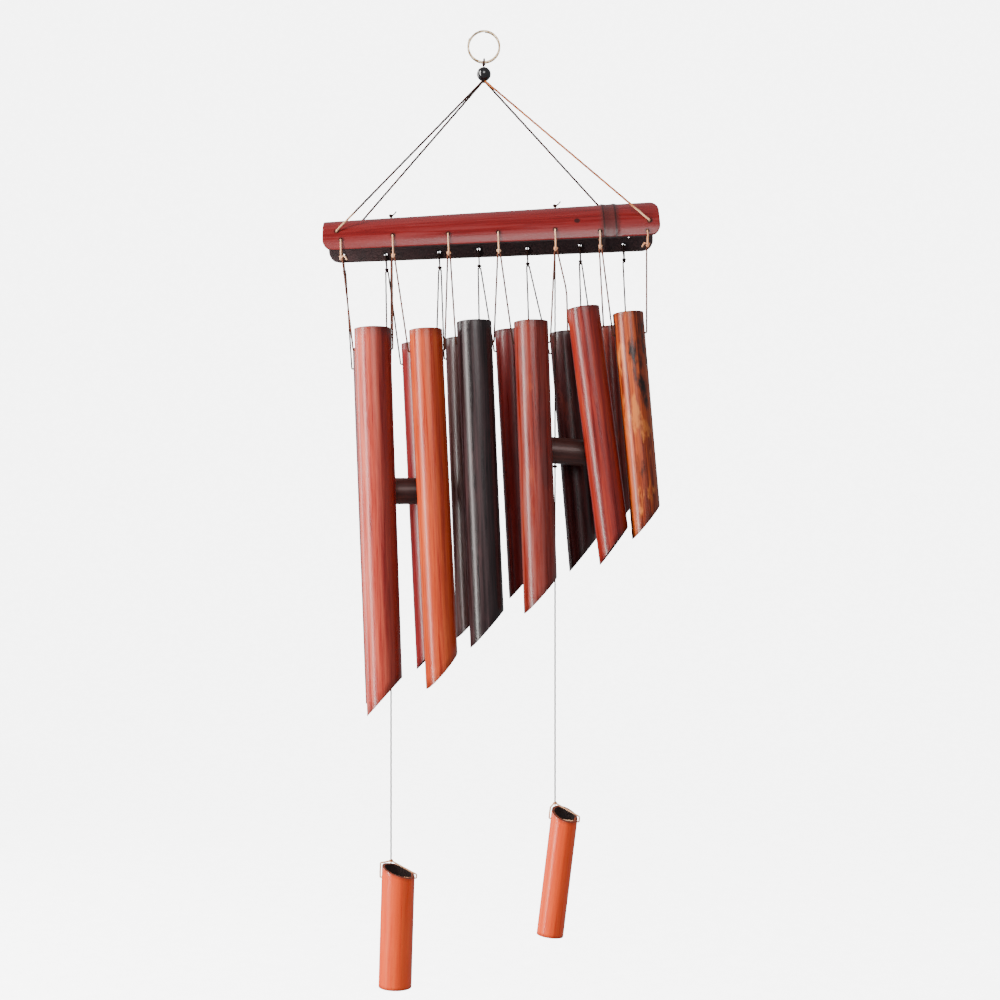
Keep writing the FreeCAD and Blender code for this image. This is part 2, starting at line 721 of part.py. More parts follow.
# ---------------------------------------------------------------- assembly, checks and export
def build_all():
    """Builds every sub-part and returns them in order from the ring down."""
    made = [build_ring(), build_ring_loop(), build_bead(), build_neck_cord(), build_header()]
    made += build_hanger_cords()
    for row, scatter in TUBE_SCATTER.items():
        made.append(build_edge_loops(row))
        for number in range(1, len(scatter) + 1):
            made.append(build_tube_cord(row, number))
            made.append(build_tube(row, number))
    for side in SIDES:
        made += build_clapper_line(side)
    return made


def check(parts):
    """Stops if an object failed to recompute or a sub-part has no valid solid."""
    for item in doc.Objects:
        if "Invalid" in item.State or "Error" in item.State:
            raise RuntimeError(f"{item.Label} failed to recompute: {item.State}")
    for part in parts:
        if part.Shape.isNull() or not part.Shape.isValid() or not part.Shape.Solids:
            raise RuntimeError(f"{part.Label} has no valid solid")


def export(parts):
    """Writes each sub-part to its own STEP file."""
    os.makedirs("parts", exist_ok=True)
    for part in parts:
        part.Shape.exportStep(f"parts/{part.Label}.step")


parts = build_all()
doc.recompute()
check(parts)
export(parts)
print(f"{len(parts)} sub-parts, cord bend radii {sorted(set(round(r, 2) for r in CORD_RADII))} mm")
for part in parts:
    print(f"{part.Label}: {len(part.Shape.Solids)} solids, {part.Shape.Volume:.1f} mm3")
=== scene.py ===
"""Looks of a bamboo wind chime: a half-culm header that carries two rows of six tubes on cords.

Every piece is shaped in metres in the chime's own frame, dressed with a node material and set to ride
on the body of the chime that it belongs to.
"""

import json
import logging
import math
from dataclasses import dataclass
from enum import Enum
from typing import Callable, Sequence

import bmesh
import bpy
from bpy.types import Material, Mesh, Node, NodeSocket, Object
from mathutils import Matrix, Vector, noise


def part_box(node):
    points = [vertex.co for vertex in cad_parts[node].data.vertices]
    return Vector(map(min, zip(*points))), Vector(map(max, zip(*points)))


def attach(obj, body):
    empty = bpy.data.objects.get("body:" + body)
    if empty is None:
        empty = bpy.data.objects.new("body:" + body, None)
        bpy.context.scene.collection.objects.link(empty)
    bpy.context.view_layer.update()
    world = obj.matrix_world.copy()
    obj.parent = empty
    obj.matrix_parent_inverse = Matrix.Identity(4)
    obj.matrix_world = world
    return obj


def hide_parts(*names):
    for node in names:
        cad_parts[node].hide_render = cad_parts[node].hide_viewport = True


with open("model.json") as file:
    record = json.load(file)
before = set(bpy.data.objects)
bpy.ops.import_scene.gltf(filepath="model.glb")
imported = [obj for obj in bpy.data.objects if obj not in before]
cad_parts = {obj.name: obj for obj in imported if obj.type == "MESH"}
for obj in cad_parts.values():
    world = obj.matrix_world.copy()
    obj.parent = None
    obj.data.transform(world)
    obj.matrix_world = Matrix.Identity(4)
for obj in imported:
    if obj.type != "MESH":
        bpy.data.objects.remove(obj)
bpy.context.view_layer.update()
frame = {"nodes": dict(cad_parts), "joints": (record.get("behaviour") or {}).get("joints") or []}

logging.basicConfig(level=logging.INFO, format="%(name)s: %(message)s")
log = logging.getLogger("wind_chime")

MM = 0.001
Z = Vector((0, 0, 1))
EVEN = Vector((1, 1, 1))
BURN_REACH = 1.1 * MM
WALL_LEAN = 0.6
Colour = tuple[float, float, float]
Row3 = list[Vector]
Outline = list[tuple[float, float]]


class Way(Enum):
    """A way from the middle, whose word stands in the names of the bodies."""

    @property
    def word(self) -> str:
        """The name in small letters."""
        return self.name.lower()


class Side(Way):
    """A side of the chime, with its way along X."""

    LEFT = -1
    RIGHT = 1


class Row(Way):
    """A row of tubes, with its way along Y."""

    FRONT = -1
    BACK = 1


class Wall(Enum):
    """The faces of a culm's wall, in the order of a piece's finishes."""

    SKIN = 0
    INSIDE = 1
    CUT = 2


# ---------------------------------------------------------------- finishes
def tint(red: int, green: int, blue: int) -> Colour:
    """An everyday 0 to 255 colour as the linear colour that a shader takes.

    Args:
        red: the red part.
        green: the green part.
        blue: the blue part.

    Returns:
        The linear colour.
    """
    parts = [value / 255 for value in (red, green, blue)]
    return tuple(p / 12.92 if p <= 0.04045 else ((p + 0.055) / 1.055) ** 2.4 for p in parts)


class Recipe:
    """A node material while it is being mixed."""

    def __init__(self, name: str) -> None:
        """Starts an empty recipe.

        Args:
            name: the material's name.
        """
        self.material = bpy.data.materials.new(name)
        self.material.use_nodes = True
        self.tree = self.material.node_tree
        self.skin = self.tree.nodes["Principled BSDF"]
        self.place = self.add("ShaderNodeTexCoord").outputs["Object"]

    def add(self, kind: str, sockets: dict | None = None, **settings: object) -> Node:
        """Adds a node.

        Args:
            kind: the node's type.
            sockets: what goes into its inputs, by index or name; a socket is linked.
            settings: the node's own settings.

        Returns:
            The node.
        """
        node = self.tree.nodes.new(kind)
        for name, value in settings.items():
            setattr(node, name, value)
        self.feed(node, sockets or {})
        return node

    def feed(self, node: Node, sockets: dict) -> None:
        """Links or sets a node's inputs.

        Args:
            node: the node.
            sockets: what goes into its inputs, by index or name.
        """
        for key, value in sockets.items():
            if isinstance(value, NodeSocket):
                self.tree.links.new(value, node.inputs[key])
            else:
                short = isinstance(value, tuple) and len(value) == 3 and node.inputs[key].type == "RGBA"
                node.inputs[key].default_value = (*value, 1.0) if short else value

    def sum(self, operation: str, first: object, second: object = 0.0) -> NodeSocket:
        """A sum of two numbers or sockets."""
        return self.add("ShaderNodeMath", {0: first, 1: second}, operation=operation).outputs[0]

    def spread(self, value: object, low: float, high: float, to_low: float, to_high: float) -> NodeSocket:
        """A number moved from one range to another, smoothly and held at the ends."""
        sockets = {0: value, 1: low, 2: high, 3: to_low, 4: to_high}
        return self.add("ShaderNodeMapRange", sockets, interpolation_type="SMOOTHSTEP").outputs[0]

    def blend(self, share: object, first: object, second: object) -> NodeSocket:
        """Two colours mixed by a share of the second."""
        return self.add("ShaderNodeMix", {0: share, 6: first, 7: second}, data_type="RGBA").outputs[2]

    def burnt(self, colour: object, share: float, char: Colour) -> NodeSocket:
        """A colour charred where the mesh is marked as burnt."""
        mark = self.add("ShaderNodeAttribute", attribute_name="burn").outputs["Fac"]
        return self.blend(self.sum("MULTIPLY", mark, share), colour, char)

    def ramp(self, value: object, stops: Sequence[tuple[float, Colour]]) -> NodeSocket:
        """A colour picked along a row of stops."""
        node = self.add("ShaderNodeValToRGB", {0: value})
        band = node.color_ramp.elements
        for element, (where, colour) in zip([band[0], band[1]], [stops[0], stops[-1]]):
            element.position, element.color = where, (*colour, 1)
        for where, colour in stops[1:-1]:
            band.new(where).color = (*colour, 1)
        return node.outputs[0]

    def cloud(self, scale: float, stretch: Vector = EVEN, detail: float = 4, shift: float = 0) -> NodeSocket:
        """Noise at a scale per metre, squeezed by a stretch per axis and moved by a shift."""
        moved = {"Vector": self.place, "Scale": stretch, "Location": (shift,) * 3}
        place = self.add("ShaderNodeMapping", moved)
        sockets = {"Vector": place.outputs[0], "Scale": scale, "Detail": detail, "Roughness": 0.62}
        return self.add("ShaderNodeTexNoise", sockets).outputs[0]

    def dress(self, colour: object, roughness: object, height: object, depth: float, **more: object) -> None:
        """Sets the surface.

        Args:
            colour: the base colour's socket.
            roughness: the roughness socket.
            height: the socket of the bump's height.
            depth: how deep the bump is, in metres.
            more: other inputs of the surface, by name with spaces as underscores.
        """
        bump = self.add("ShaderNodeBump", {"Height": height, "Distance": depth, "Strength": 1.0})
        self.feed(self.skin, {"Base Color": colour, "Roughness": roughness, "Normal": bump.outputs[0]})
        self.feed(self.skin, {name.replace("_", " "): value for name, value in more.items()})


class Finish:
    """A named finish that mixes its own material."""

    name: str

    def fill(self, recipe: Recipe) -> None:
        """Adds the finish's nodes to a recipe."""
        raise NotImplementedError

    def mix(self) -> Material:
        """Mixes the material.

        Returns:
            The material.
        """
        recipe = Recipe(self.name)
        self.fill(recipe)
        return recipe.material


@dataclass(frozen=True)
class BambooSkin(Finish):
    """Stained and lacquered skin of a culm, with the fibres along one axis."""

    name: str
    dark: Colour
    body: Colour
    warm: Colour
    pale: Colour
    along_x: bool = False
    patches: float = 0.3
    grey: float = 0.0
    dark_side: float = 0.0
    half_width: float = 13 * MM
    seed: float = 0.0
    gloss: float = 0.3
    node_at: float | None = None
    scar_at: tuple[float, float, float] | None = None

    def stretch(self, share: float) -> Vector:
        """Squeezes the fibres' axis to a share of the others."""
        return Vector((share, 1, 1)) if self.along_x else Vector((1, 1, share))

    def fill(self, recipe: Recipe) -> None:
        """Adds the finish's nodes to a recipe."""
        streaks = recipe.cloud(330, self.stretch(0.03), 5, self.seed)
        fibres = recipe.cloud(1900, self.stretch(0.018), 4, self.seed + 3)
        mottle = recipe.cloud(75, self.stretch(0.3), 6, self.seed + 7)
        grain = recipe.cloud(2600, EVEN, 2, self.seed + 11)
        mixed = recipe.sum("ADD", recipe.sum("MULTIPLY", streaks, 0.72), recipe.sum("MULTIPLY", fibres, 0.28))
        stops = [(0.30, self.dark), (0.43, self.body), (0.57, self.warm), (0.74, self.pale)]
        colour = recipe.ramp(mixed, stops)
        patch = recipe.sum("MULTIPLY", recipe.spread(mottle, 0.52, 0.66, 0, 1), self.patches)
        colour = recipe.blend(patch, colour, self.dark)
        glow = recipe.sum("MULTIPLY", recipe.spread(mottle, 0.44, 0.34, 0, 1), self.patches * 0.8)
        colour = recipe.blend(glow, colour, self.pale)
        if self.grey:
            haze = recipe.sum("MULTIPLY", recipe.spread(streaks, 0.44, 0.6, 0, 1), self.grey)
            colour = recipe.blend(haze, colour, tint(92, 84, 88))
        # Painted shade, partly stain: the skin darkens across the culm towards its right side, away from the
        # window light.
        if self.dark_side:
            parts = recipe.add("ShaderNodeSeparateXYZ", {0: recipe.place}).outputs
            shade = recipe.spread(parts[0], -0.35 * self.half_width, self.half_width, 0, self.dark_side)
            colour = recipe.blend(shade, colour, self.dark)
        if self.node_at is not None:
            colour = self.node_band(recipe, colour, fibres)
        if self.scar_at is not None:
            off = recipe.add("ShaderNodeVectorMath", {0: recipe.place, 1: self.scar_at}, operation="DISTANCE")
            scar = recipe.spread(off.outputs["Value"], 1.6 * MM, 3.0 * MM, 0.85, 0)
            colour = recipe.blend(scar, colour, tint(24, 12, 12))
        speck = recipe.spread(grain, 0.60, 0.72, 0, 0.34)
        colour = recipe.blend(speck, colour, self.dark)
        colour = recipe.burnt(colour, 0.85, tint(22, 10, 9))
        rough = recipe.spread(mixed, 0.35, 0.65, self.gloss - 0.06, self.gloss + 0.16)
        height = recipe.sum("ADD", recipe.sum("MULTIPLY", fibres, 0.8), recipe.sum("MULTIPLY", grain, 0.25))
        lacquer = {"Coat_Weight": 0.18, "Coat_Roughness": 0.14, "Specular_IOR_Level": 0.35}
        recipe.dress(colour, rough, height, 0.12 * MM, **lacquer)

    def node_band(self, recipe: Recipe, colour: object, fibres: object) -> NodeSocket:
        """Darkens the band between the two ridges of the culm's node."""
        parts = recipe.add("ShaderNodeSeparateXYZ", {0: recipe.place}).outputs
        off = recipe.sum("ABSOLUTE", recipe.sum("SUBTRACT", parts[0], self.node_at))
        frayed = recipe.sum("ADD", off, recipe.sum("MULTIPLY", fibres, 3 * MM))
        band = recipe.spread(frayed, 6 * MM, 11 * MM, 0.8, 0)
        from_ridge = recipe.sum("ABSOLUTE", recipe.sum("SUBTRACT", off, HEADER.node_half))
        line = recipe.spread(from_ridge, 0.2 * MM, 1.0 * MM, 0.75, 0)
        colour = recipe.blend(band, colour, tint(70, 32, 30))
        return recipe.blend(line, colour, tint(26, 12, 12))


@dataclass(frozen=True)
class BambooFlesh(Finish):
    """Bare culm wall, as on the inside of a tube or on a sawn end."""

    name: str
    low: Colour
    high: Colour
    roughness: float = 0.75
    seed: float = 0.0

    def fill(self, recipe: Recipe) -> None:
        """Adds the finish's nodes to a recipe."""
        pores = recipe.cloud(1500, Vector((1, 1, 0.35)), 3, self.seed)
        wash = recipe.cloud(160, Vector((1, 1, 0.5)), 4, self.seed + 5)
        both = recipe.sum("ADD", recipe.sum("MULTIPLY", pores, 0.55), recipe.sum("MULTIPLY", wash, 0.45))
        colour = recipe.ramp(both, [(0.36, self.low), (0.62, self.high)])
        colour = recipe.burnt(colour, 0.8, tint(20, 9, 8))
        rough = recipe.spread(wash, 0.3, 0.7, self.roughness - 0.12, self.roughness + 0.1)
        recipe.dress(colour, rough, pores, 0.2 * MM)


@dataclass(frozen=True)
class CordWax(Finish):
    """Waxed cord with an uneven stain, which may turn to a lighter colour below a height: painted light on
    the lit part of the cord, with the darker colour above standing for painted shade.
    """

    name: str
    low: Colour
    high: Colour
    dirt: Colour
    seed: float = 0.0
    below: float | None = None
    second: Colour = (0.0, 0.0, 0.0)

    def fill(self, recipe: Recipe) -> None:
        """Adds the finish's nodes to a recipe."""
        stain = recipe.cloud(55, EVEN, 5, self.seed)
        fuzz = recipe.cloud(2400, Vector((1, 1, 0.6)), 3, self.seed + 2)
        share = recipe.spread(stain, 0.36, 0.64, 0, 1)
        colour = recipe.blend(share, self.low, self.high)
        colour = recipe.blend(recipe.spread(fuzz, 0.5, 0.72, 0, 0.55), colour, self.dirt)
        # Painted light: below the height the cord takes the lighter colour, as where it is lit crossing the
        # header; above it keeps the darker, painted-shade colour.
        if self.below is not None:
            parts = recipe.add("ShaderNodeSeparateXYZ", {0: recipe.place}).outputs
            height = recipe.sum("ADD", parts[2], recipe.sum("MULTIPLY", stain, 6 * MM))
            lit_share = recipe.spread(height, self.below - 4 * MM, self.below + 4 * MM, 1, 0)
            lit_mottled = recipe.blend(recipe.spread(fuzz, 0.5, 0.72, 0, 0.5), self.second, self.dirt)
            colour = recipe.blend(lit_share, colour, lit_mottled)
        rough = recipe.spread(fuzz, 0.3, 0.7, 0.6, 0.82)
        recipe.dress(colour, rough, fuzz, 0.12 * MM, Coat_Weight=0.02, Specular_IOR_Level=0.16)


@dataclass(frozen=True)
class RingMetal(Finish):
    """Worn, slightly brassy spring wire."""

    name: str = "worn_ring_wire"

    def fill(self, recipe: Recipe) -> None:
        """Adds the finish's nodes to a recipe."""
        tarnish = recipe.cloud(420, EVEN, 6)
        scratch = recipe.cloud(3000, Vector((1, 0.2, 1)), 2, 4)
        stops = [(0.34, tint(96, 76, 56)), (0.5, tint(158, 134, 104)), (0.66, tint(204, 188, 162))]
        colour = recipe.ramp(tarnish, stops)
        rough = recipe.spread(scratch, 0.3, 0.7, 0.2, 0.42)
        recipe.dress(colour, rough, scratch, 0.03 * MM, Metallic=1.0)


@dataclass(frozen=True)
class BeadGlaze(Finish):
    """Glossy black bead with faint handling marks."""

    name: str = "black_bead_glaze"

    def fill(self, recipe: Recipe) -> None:
        """Adds the finish's nodes to a recipe."""
        marks = recipe.cloud(700, EVEN, 5)
        colour = recipe.ramp(marks, [(0.4, tint(10, 9, 11)), (0.7, tint(30, 26, 28))])
        rough = recipe.spread(marks, 0.35, 0.7, 0.08, 0.24)
        recipe.dress(colour, rough, marks, 0.02 * MM, Coat_Weight=0.6, Coat_Roughness=0.05)


@dataclass(frozen=True)
class BackdropPaper(Finish):
    """Pale paper of the sweep behind the chime."""

    name: str = "pale_sweep_paper"

    def fill(self, recipe: Recipe) -> None:
        """Adds the finish's nodes to a recipe."""
        tooth = recipe.cloud(60, EVEN, 4)
        colour = recipe.ramp(tooth, [(0.3, tint(246, 246, 246)), (0.7, tint(253, 253, 253))])
        rough = recipe.spread(tooth, 0.3, 0.7, 0.85, 0.95)
        recipe.dress(colour, rough, tooth, 0.1 * MM, Emission_Color=colour, Emission_Strength=6.0)


# ---------------------------------------------------------------- shaping
class Clay:
    """Points and faces of a piece while it is being shaped."""

    def __init__(self) -> None:
        """Starts with no points."""
        self.points: list[Vector] = []
        self.faces: list[list[int]] = []

    def skin(self, rows: Sequence[Row3], around: bool = False, closed: bool = False) -> None:
        """Joins rows of points with four-sided faces.

        Args:
            rows: the rows, all of one length.
            around: whether each row closes on itself.
            closed: whether the last row joins the first.
        """
        start, wide = len(self.points), len(rows[0])
        for row in rows:
            self.points.extend(row)
        for line in range(len(rows) if closed else len(rows) - 1):
            here, there = start + line * wide, start + ((line + 1) % len(rows)) * wide
            for one in range(wide if around else wide - 1):
                two = (one + 1) % wide
                self.faces.append([here + one, here + two, there + two, there + one])

    def strand(self, path: Row3, outline: Outline, twist: float = 0, closed: bool = False) -> None:
        """Draws an outline along a path.

        Args:
            path: evenly spaced points.
            outline: the section's points, sideways and upwards.
            twist: how far the section turns per metre, in radians.
            closed: whether the path closes on itself.
        """
        rows, gone = [], 0.0
        frames = frames_along(path, closed)
        for step, (point, (side, up)) in enumerate(zip(path, frames)):
            if step:
                gone += (point - path[step - 1]).length
            cos, sin = math.cos(twist * gone), math.sin(twist * gone)
            rows.append([point + side * (u * cos - v * sin) + up * (u * sin + v * cos) for u, v in outline])
        start = len(self.points)
        self.skin(rows, around=True, closed=closed)
        if not closed:
            self.cap(start, rows)

    def cap(self, start: int, rows: Sequence[Row3]) -> None:
        """Closes both ends of a tube of rows.

        Args:
            start: the number of the first row's first point.
            rows: the rows.
        """
        wide = len(rows[0])
        last = start + wide * (len(rows) - 1)
        self.faces.append([start + k for k in range(wide)][::-1])
        self.faces.append([last + k for k in range(wide)])

    def piece(self, name: str, place: Matrix | None = None) -> Object:
        """Fires the clay into a mesh object with its faces turned outwards.

        Args:
            name: the piece's name.
            place: where its own frame lies in the chime's frame.

        Returns:
            The object.
        """
        mesh = bpy.data.meshes.new(name)
        mesh.from_pydata([tuple(point) for point in self.points], [], self.faces)
        turn_outwards(mesh)
        made = bpy.data.objects.new(name, mesh)
        bpy.context.scene.collection.objects.link(made)
        made.matrix_world = place or Matrix.Identity(4)
        return made


def turn_outwards(mesh: Mesh) -> None:
    """Turns every face of a closed mesh outwards."""
    work = bmesh.new()
    work.from_mesh(mesh)
    bmesh.ops.recalc_face_normals(work, faces=work.faces)
    work.to_mesh(mesh)
    work.free()


def frames_along(path: Row3, closed: bool) -> list[tuple[Vector, Vector]]:
    """Side and up directions along a path, carried along without a twist.

    Args:
        path: the points.
        closed: whether the path closes on itself.

    Returns:
        The two directions at each point.
    """
    count = len(path)
    ahead = []
    for step in range(count):
        before = path[step - 1] if closed or step else path[0]
        after = path[(step + 1) % count] if closed or step < count - 1 else path[-1]
        ahead.append((after - before).normalized())
    side = ahead[0].orthogonal().normalized()
    frames = []
    for way in ahead:
        side = (side - way * side.dot(way)).normalized()
        frames.append((side.copy(), way.cross(side)))
    if closed:
        first = frames[0]
        end = (side - ahead[0] * side.dot(ahead[0])).normalized()
        slip = math.atan2(end.dot(first[1]), end.dot(first[0]))
        for step, (one, two) in enumerate(frames):
            angle = -slip * step / count
            cos, sin = math.cos(angle), math.sin(angle)
            frames[step] = (one * cos + two * sin, two * cos - one * sin)
    return frames


def even_steps(path: Row3, step: float) -> Row3:
    """The same line with its points at even steps.

    Args:
        path: the points.
        step: about how far apart they are to be.

    Returns:
        The new points.
    """
    runs = [(b - a).length for a, b in zip(path, path[1:])]
    count = max(2, round(sum(runs) / step))
    gap = sum(runs) / count
    made, at, gone = [path[0].copy()], 0, 0.0
    for number in range(1, count):
        while at < len(runs) - 1 and gone + runs[at] < number * gap:
            gone += runs[at]
            at += 1
        made.append(path[at].lerp(path[at + 1], (number * gap - gone) / max(runs[at], 1e-9)))
    return [*made, path[-1].copy()]


def around(count: int) -> list[float]:
    """Even angles once round, in radians."""
    return [math.tau * number / count for number in range(count)]


def laid_section(radius: float, strands: int = 3, sides: int = 12, groove: float = 0.14) -> Outline:
    """The outline of a cord laid from a few strands."""
    outline = []
    for angle in around(sides):
        reach = radius * (1 - groove * (0.5 - 0.5 * math.cos(strands * angle)))
        outline.append((reach * math.cos(angle), reach * math.sin(angle)))
    return outline


def spline_line(points: Row3, bend: float) -> Row3:
    """A cord's middle line: straight runs with small round bends at the corners.

    Args:
        points: where the cord starts, turns and ends.
        bend: how far from each corner the bend starts.

    Returns:
        Points along the line.
    """
    controls = [points[0]]
    for before, corner, after in zip(points, points[1:], points[2:]):
        for other in (before, after):
            reach = min(bend, (other - corner).length * 0.45)
            near = corner + (other - corner).normalized() * reach
            if other is before:
                controls.extend([near, corner])
            else:
                controls.append(near)
    controls.append(points[-1])
    curve = bpy.data.curves.new("cord_line", "CURVE")
    curve.dimensions = "3D"
    spline = curve.splines.new("NURBS")
    spline.points.add(len(controls) - 1)
    for knot, control in zip(spline.points, controls):
        knot.co = (*control, 1)
    spline.order_u = 3
    spline.use_endpoint_u = True
    spline.resolution_u = 16
    holder = bpy.data.objects.new("cord_line", curve)
    mesh = bpy.data.meshes.new_from_object(holder)
    line = [vertex.co.copy() for vertex in mesh.vertices]
    bpy.data.objects.remove(holder)
    bpy.data.curves.remove(curve)
    bpy.data.meshes.remove(mesh)
    return line


def overhand(centre: Vector, reach: float, turn: float, tall: float = 1.0) -> Row3:
    """The middle line of a tight overhand knot, closed on itself.

    Args:
        centre: its middle.
        reach: how far the line gets from the middle.
        turn: how far it is turned about the plumb line, in radians.
        tall: how much taller than wide it is.

    Returns:
        The points.
    """
    made = []
    for t in around(54):
        x, z = math.sin(t) + 2 * math.sin(2 * t), math.cos(t) - 2 * math.cos(2 * t)
        point = Vector((x, -1.5 * math.sin(3 * t), z * tall)) * (reach / 3)
        made.append(centre + Matrix.Rotation(turn, 3, "Z") @ point)
    return made


def replace_mesh(piece: Object) -> None:
    """Bakes a piece's modifiers into its mesh."""
    bpy.context.view_layer.update()
    ready = piece.evaluated_get(bpy.context.evaluated_depsgraph_get())
    mesh = bpy.data.meshes.new_from_object(ready)
    piece.modifiers.clear()
    piece.data = mesh


@dataclass(frozen=True)
class Drilling:
    """A straight hole in a piece's own frame."""

    start: Vector
    end: Vector
    radius: float

    def distance(self, point: Vector) -> float:
        """How far a point is from the hole's middle line."""
        run = self.end - self.start
        share = min(1, max(0, (point - self.start).dot(run) / run.length_squared))
        return (point - self.start - run * share).length

    def bit(self, clay: Clay) -> None:
        """Adds the drill's bit to the clay."""
        outline = [(self.radius * math.cos(angle), self.radius * math.sin(angle)) for angle in around(24)]
        clay.strand([self.start, self.end], outline)


def drill(piece: Object, holes: Sequence[Drilling]) -> None:
    """Drills holes through a piece and marks their burnt rims.

    Args:
        piece: the piece.
        holes: the holes, in its own frame.
    """
    bits = Clay()
    for hole in holes:
        hole.bit(bits)
    cutter = bits.piece("drill_bits", piece.matrix_world.copy())
    cut = piece.modifiers.new("drilled", "BOOLEAN")
    cut.operation, cut.solver, cut.object = "DIFFERENCE", "EXACT", cutter
    replace_mesh(piece)
    bpy.data.objects.remove(cutter)
    burn = piece.data.attributes.new("burn", "FLOAT", "POINT")
    for vertex in piece.data.vertices:
        near = min(hole.distance(vertex.co) - hole.radius for hole in holes)
        burn.data[vertex.index].value = max(0.0, 1 - near / BURN_REACH)


def soften(piece: Object, angle: float = 35) -> None:
    """Shades a piece smooth except at its sharp edges."""
    piece.data.shade_smooth()
    piece.data.set_sharp_from_angle(angle=math.radians(angle))


def dress_walls(piece: Object, finishes: Sequence[Material], out: Callable[[Vector], Vector]) -> None:
    """Gives the skin, the inside and the cut edges of a culm their finishes.

    Args:
        piece: the piece.
        finishes: the finishes in the order of Wall.
        out: the outward direction at a point of the piece's own frame.
    """
    piece.data.materials.clear()
    for finish in finishes:
        piece.data.materials.append(finish)
    for face in piece.data.polygons:
        lean = face.normal.dot(out(face.center))
        wall = Wall.SKIN if lean > WALL_LEAN else Wall.INSIDE if lean < -WALL_LEAN else Wall.CUT
        face.material_index = wall.value


def settle(piece: Object, body: str, slot: str, *nodes: str) -> Object:
    """Makes a piece ride on its body and stand for its plain parts.

    Args:
        piece: the piece.
        body: the body that it rides on.
        slot: not used.
        nodes: the plain parts that it stands for.

    Returns:
        The piece.
    """
    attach(piece, body)
    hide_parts(*nodes)
    log.info("%s: %d faces", piece.name, len(piece.data.polygons))
    return piece


def joint(name: str) -> dict:
    """The chime's joint of that name."""
    return next(item for item in frame["joints"] if item["name"] == name)


def hang_place(name: str) -> Matrix:
    """The frame of a hanging tube: its side holes' middle, with its axis leaning as the joint's line does."""
    item = joint(name)
    lean = math.atan2(item["axis"][2], item["axis"][0])
    return Matrix.Translation(Vector(item["pos_m"])) @ Matrix.Rotation(-lean, 4, "Y")


# ---------------------------------------------------------------- the header's own frame
@dataclass(frozen=True)
class HeaderSizes:
    """Sizes of the half-culm header and of its holes."""

    length: float = 258 * MM
    radius: float = 28 * MM
    gain: float = 4.8 * MM
    wall: float = 4 * MM
    cut_drop: float = 1 * MM
    depth: float = 157.4 * MM
    shift: float = 6 * MM
    tilt: float = math.radians(2.43)
    corner_left_low: float = 8 * MM
    corner_right_low: float = 8 * MM
    corner_right_top: float = 10 * MM
    corner_left_top: float = 2 * MM
    node_at: float = 91 * MM
    node_half: float = 4.5 * MM
    node_swell: float = 0.8 * MM
    node_waist: float = 0.3
    ridge_width: float = 0.32
    stub: float = 1.4 * MM
    edge_hole: float = 1.3 * MM
    hanger_hole: float = 1.5 * MM
    string_hole: float = 2 * MM
    knot_drop: float = 6.9 * MM
    hanger_margin_left: float = 11 * MM
    hanger_rise_left: float = 14 * MM
    hanger_rise_right: float = 10.5 * MM

    @property
    def place(self) -> Matrix:
        """The header's frame in the chime's frame."""
        return Matrix.Translation((self.shift, 0, -self.depth)) @ Matrix.Rotation(-self.tilt, 4, "Y")

    def to_world(self, along: float, across: float, up: float) -> Vector:
        """A point of the header's frame in the chime's frame."""
        return self.place @ Vector((along, across, up))

    def culm(self, along: float) -> float:
        """The culm's outer radius without its node."""
        return self.radius + self.gain * along / self.length

    def outer(self, along: float) -> float:
        """The culm's outer radius with the two ridges of its node."""
        off = abs(along - self.node_at)
        if off < self.node_half:
            share = self.node_waist + (1 - self.node_waist) * (off / self.node_half) ** 2
        else:
            share = math.exp(-(((off - self.node_half) / (self.ridge_width * self.node_half)) ** 2))
        return self.culm(along) + self.node_swell * share

    def inner(self, along: float) -> float:
        """The culm's inner radius with the stub of its node's membrane."""
        off = abs(along - self.node_at)
        return self.culm(along) - self.wall - self.stub * max(0, 1 - off / (self.node_half / 2))

    def end(self, side: Side, up: float) -> float:
        """Where an end's outline lies at a height, with its rounded corners."""
        low = self.corner_left_low if side is Side.LEFT else self.corner_right_low
        top = self.corner_left_top if side is Side.LEFT else self.corner_right_top
        crown = self.culm(side.value * self.length / 2)
        into, corner = low - self.cut_drop - up, low
        if up > crown - top:
            into, corner = up - crown + top, top
        inset = corner - math.sqrt(max(0, corner**2 - max(0, into) ** 2)) if into > 0 else 0
        return side.value * (self.length / 2 - inset)


@dataclass(frozen=True)
class HoleRow:
    """Drilled holes of one edge, in millimetres: their margins, rise and how the hand drilling strays."""

    margin_left: float
    margin_right: float
    rise: float
    hanger_margin_right: float
    stray: tuple[tuple[float, float], ...]

    def hole(self, number: int, header: HeaderSizes) -> tuple[float, float]:
        """An edge hole's place along and up the header, counted from one."""
        left = -header.length / 2 + self.margin_left * MM
        right = header.length / 2 - self.margin_right * MM
        along, up = self.stray[number - 1]
        pitch = (right - left) / (len(self.stray) - 1)
        return left + pitch * (number - 1) + along * MM, (self.rise + up) * MM - header.cut_drop


HEADER = HeaderSizes()
HOLES = {
    Row.FRONT: HoleRow(
        margin_left=14.2, margin_right=10.1, rise=8.2, hanger_margin_right=8,
        stray=((0, -0.6), (0.8, 1.2), (4.2, 0.4), (3.4, -0.5), (7.9, -0.4), (2.9, -3.2), (0, -4.6)),
    ),
    Row.BACK: HoleRow(
        margin_left=11, margin_right=23.5, rise=5.6, hanger_margin_right=20,
        stray=((0, 0), (-3.4, -0.8), (1.7, -0.4), (-4.0, 0.6), (-2.5, -0.2), (2.4, 0.6), (0, 0)),
    ),
}


def hanger_hole(row: Row, side: Side) -> tuple[float, float]:
    """A hanger hole's place along and up the header."""
    if side is Side.LEFT:
        return -HEADER.length / 2 + HEADER.hanger_margin_left, HEADER.hanger_rise_left
    return HEADER.length / 2 - HOLES[row].hanger_margin_right * MM, HEADER.hanger_rise_right


def across_at(radius: float, up: float) -> float:
    """How far a round surface lies from the middle plane at a height."""
    return math.sqrt(radius**2 - up**2)


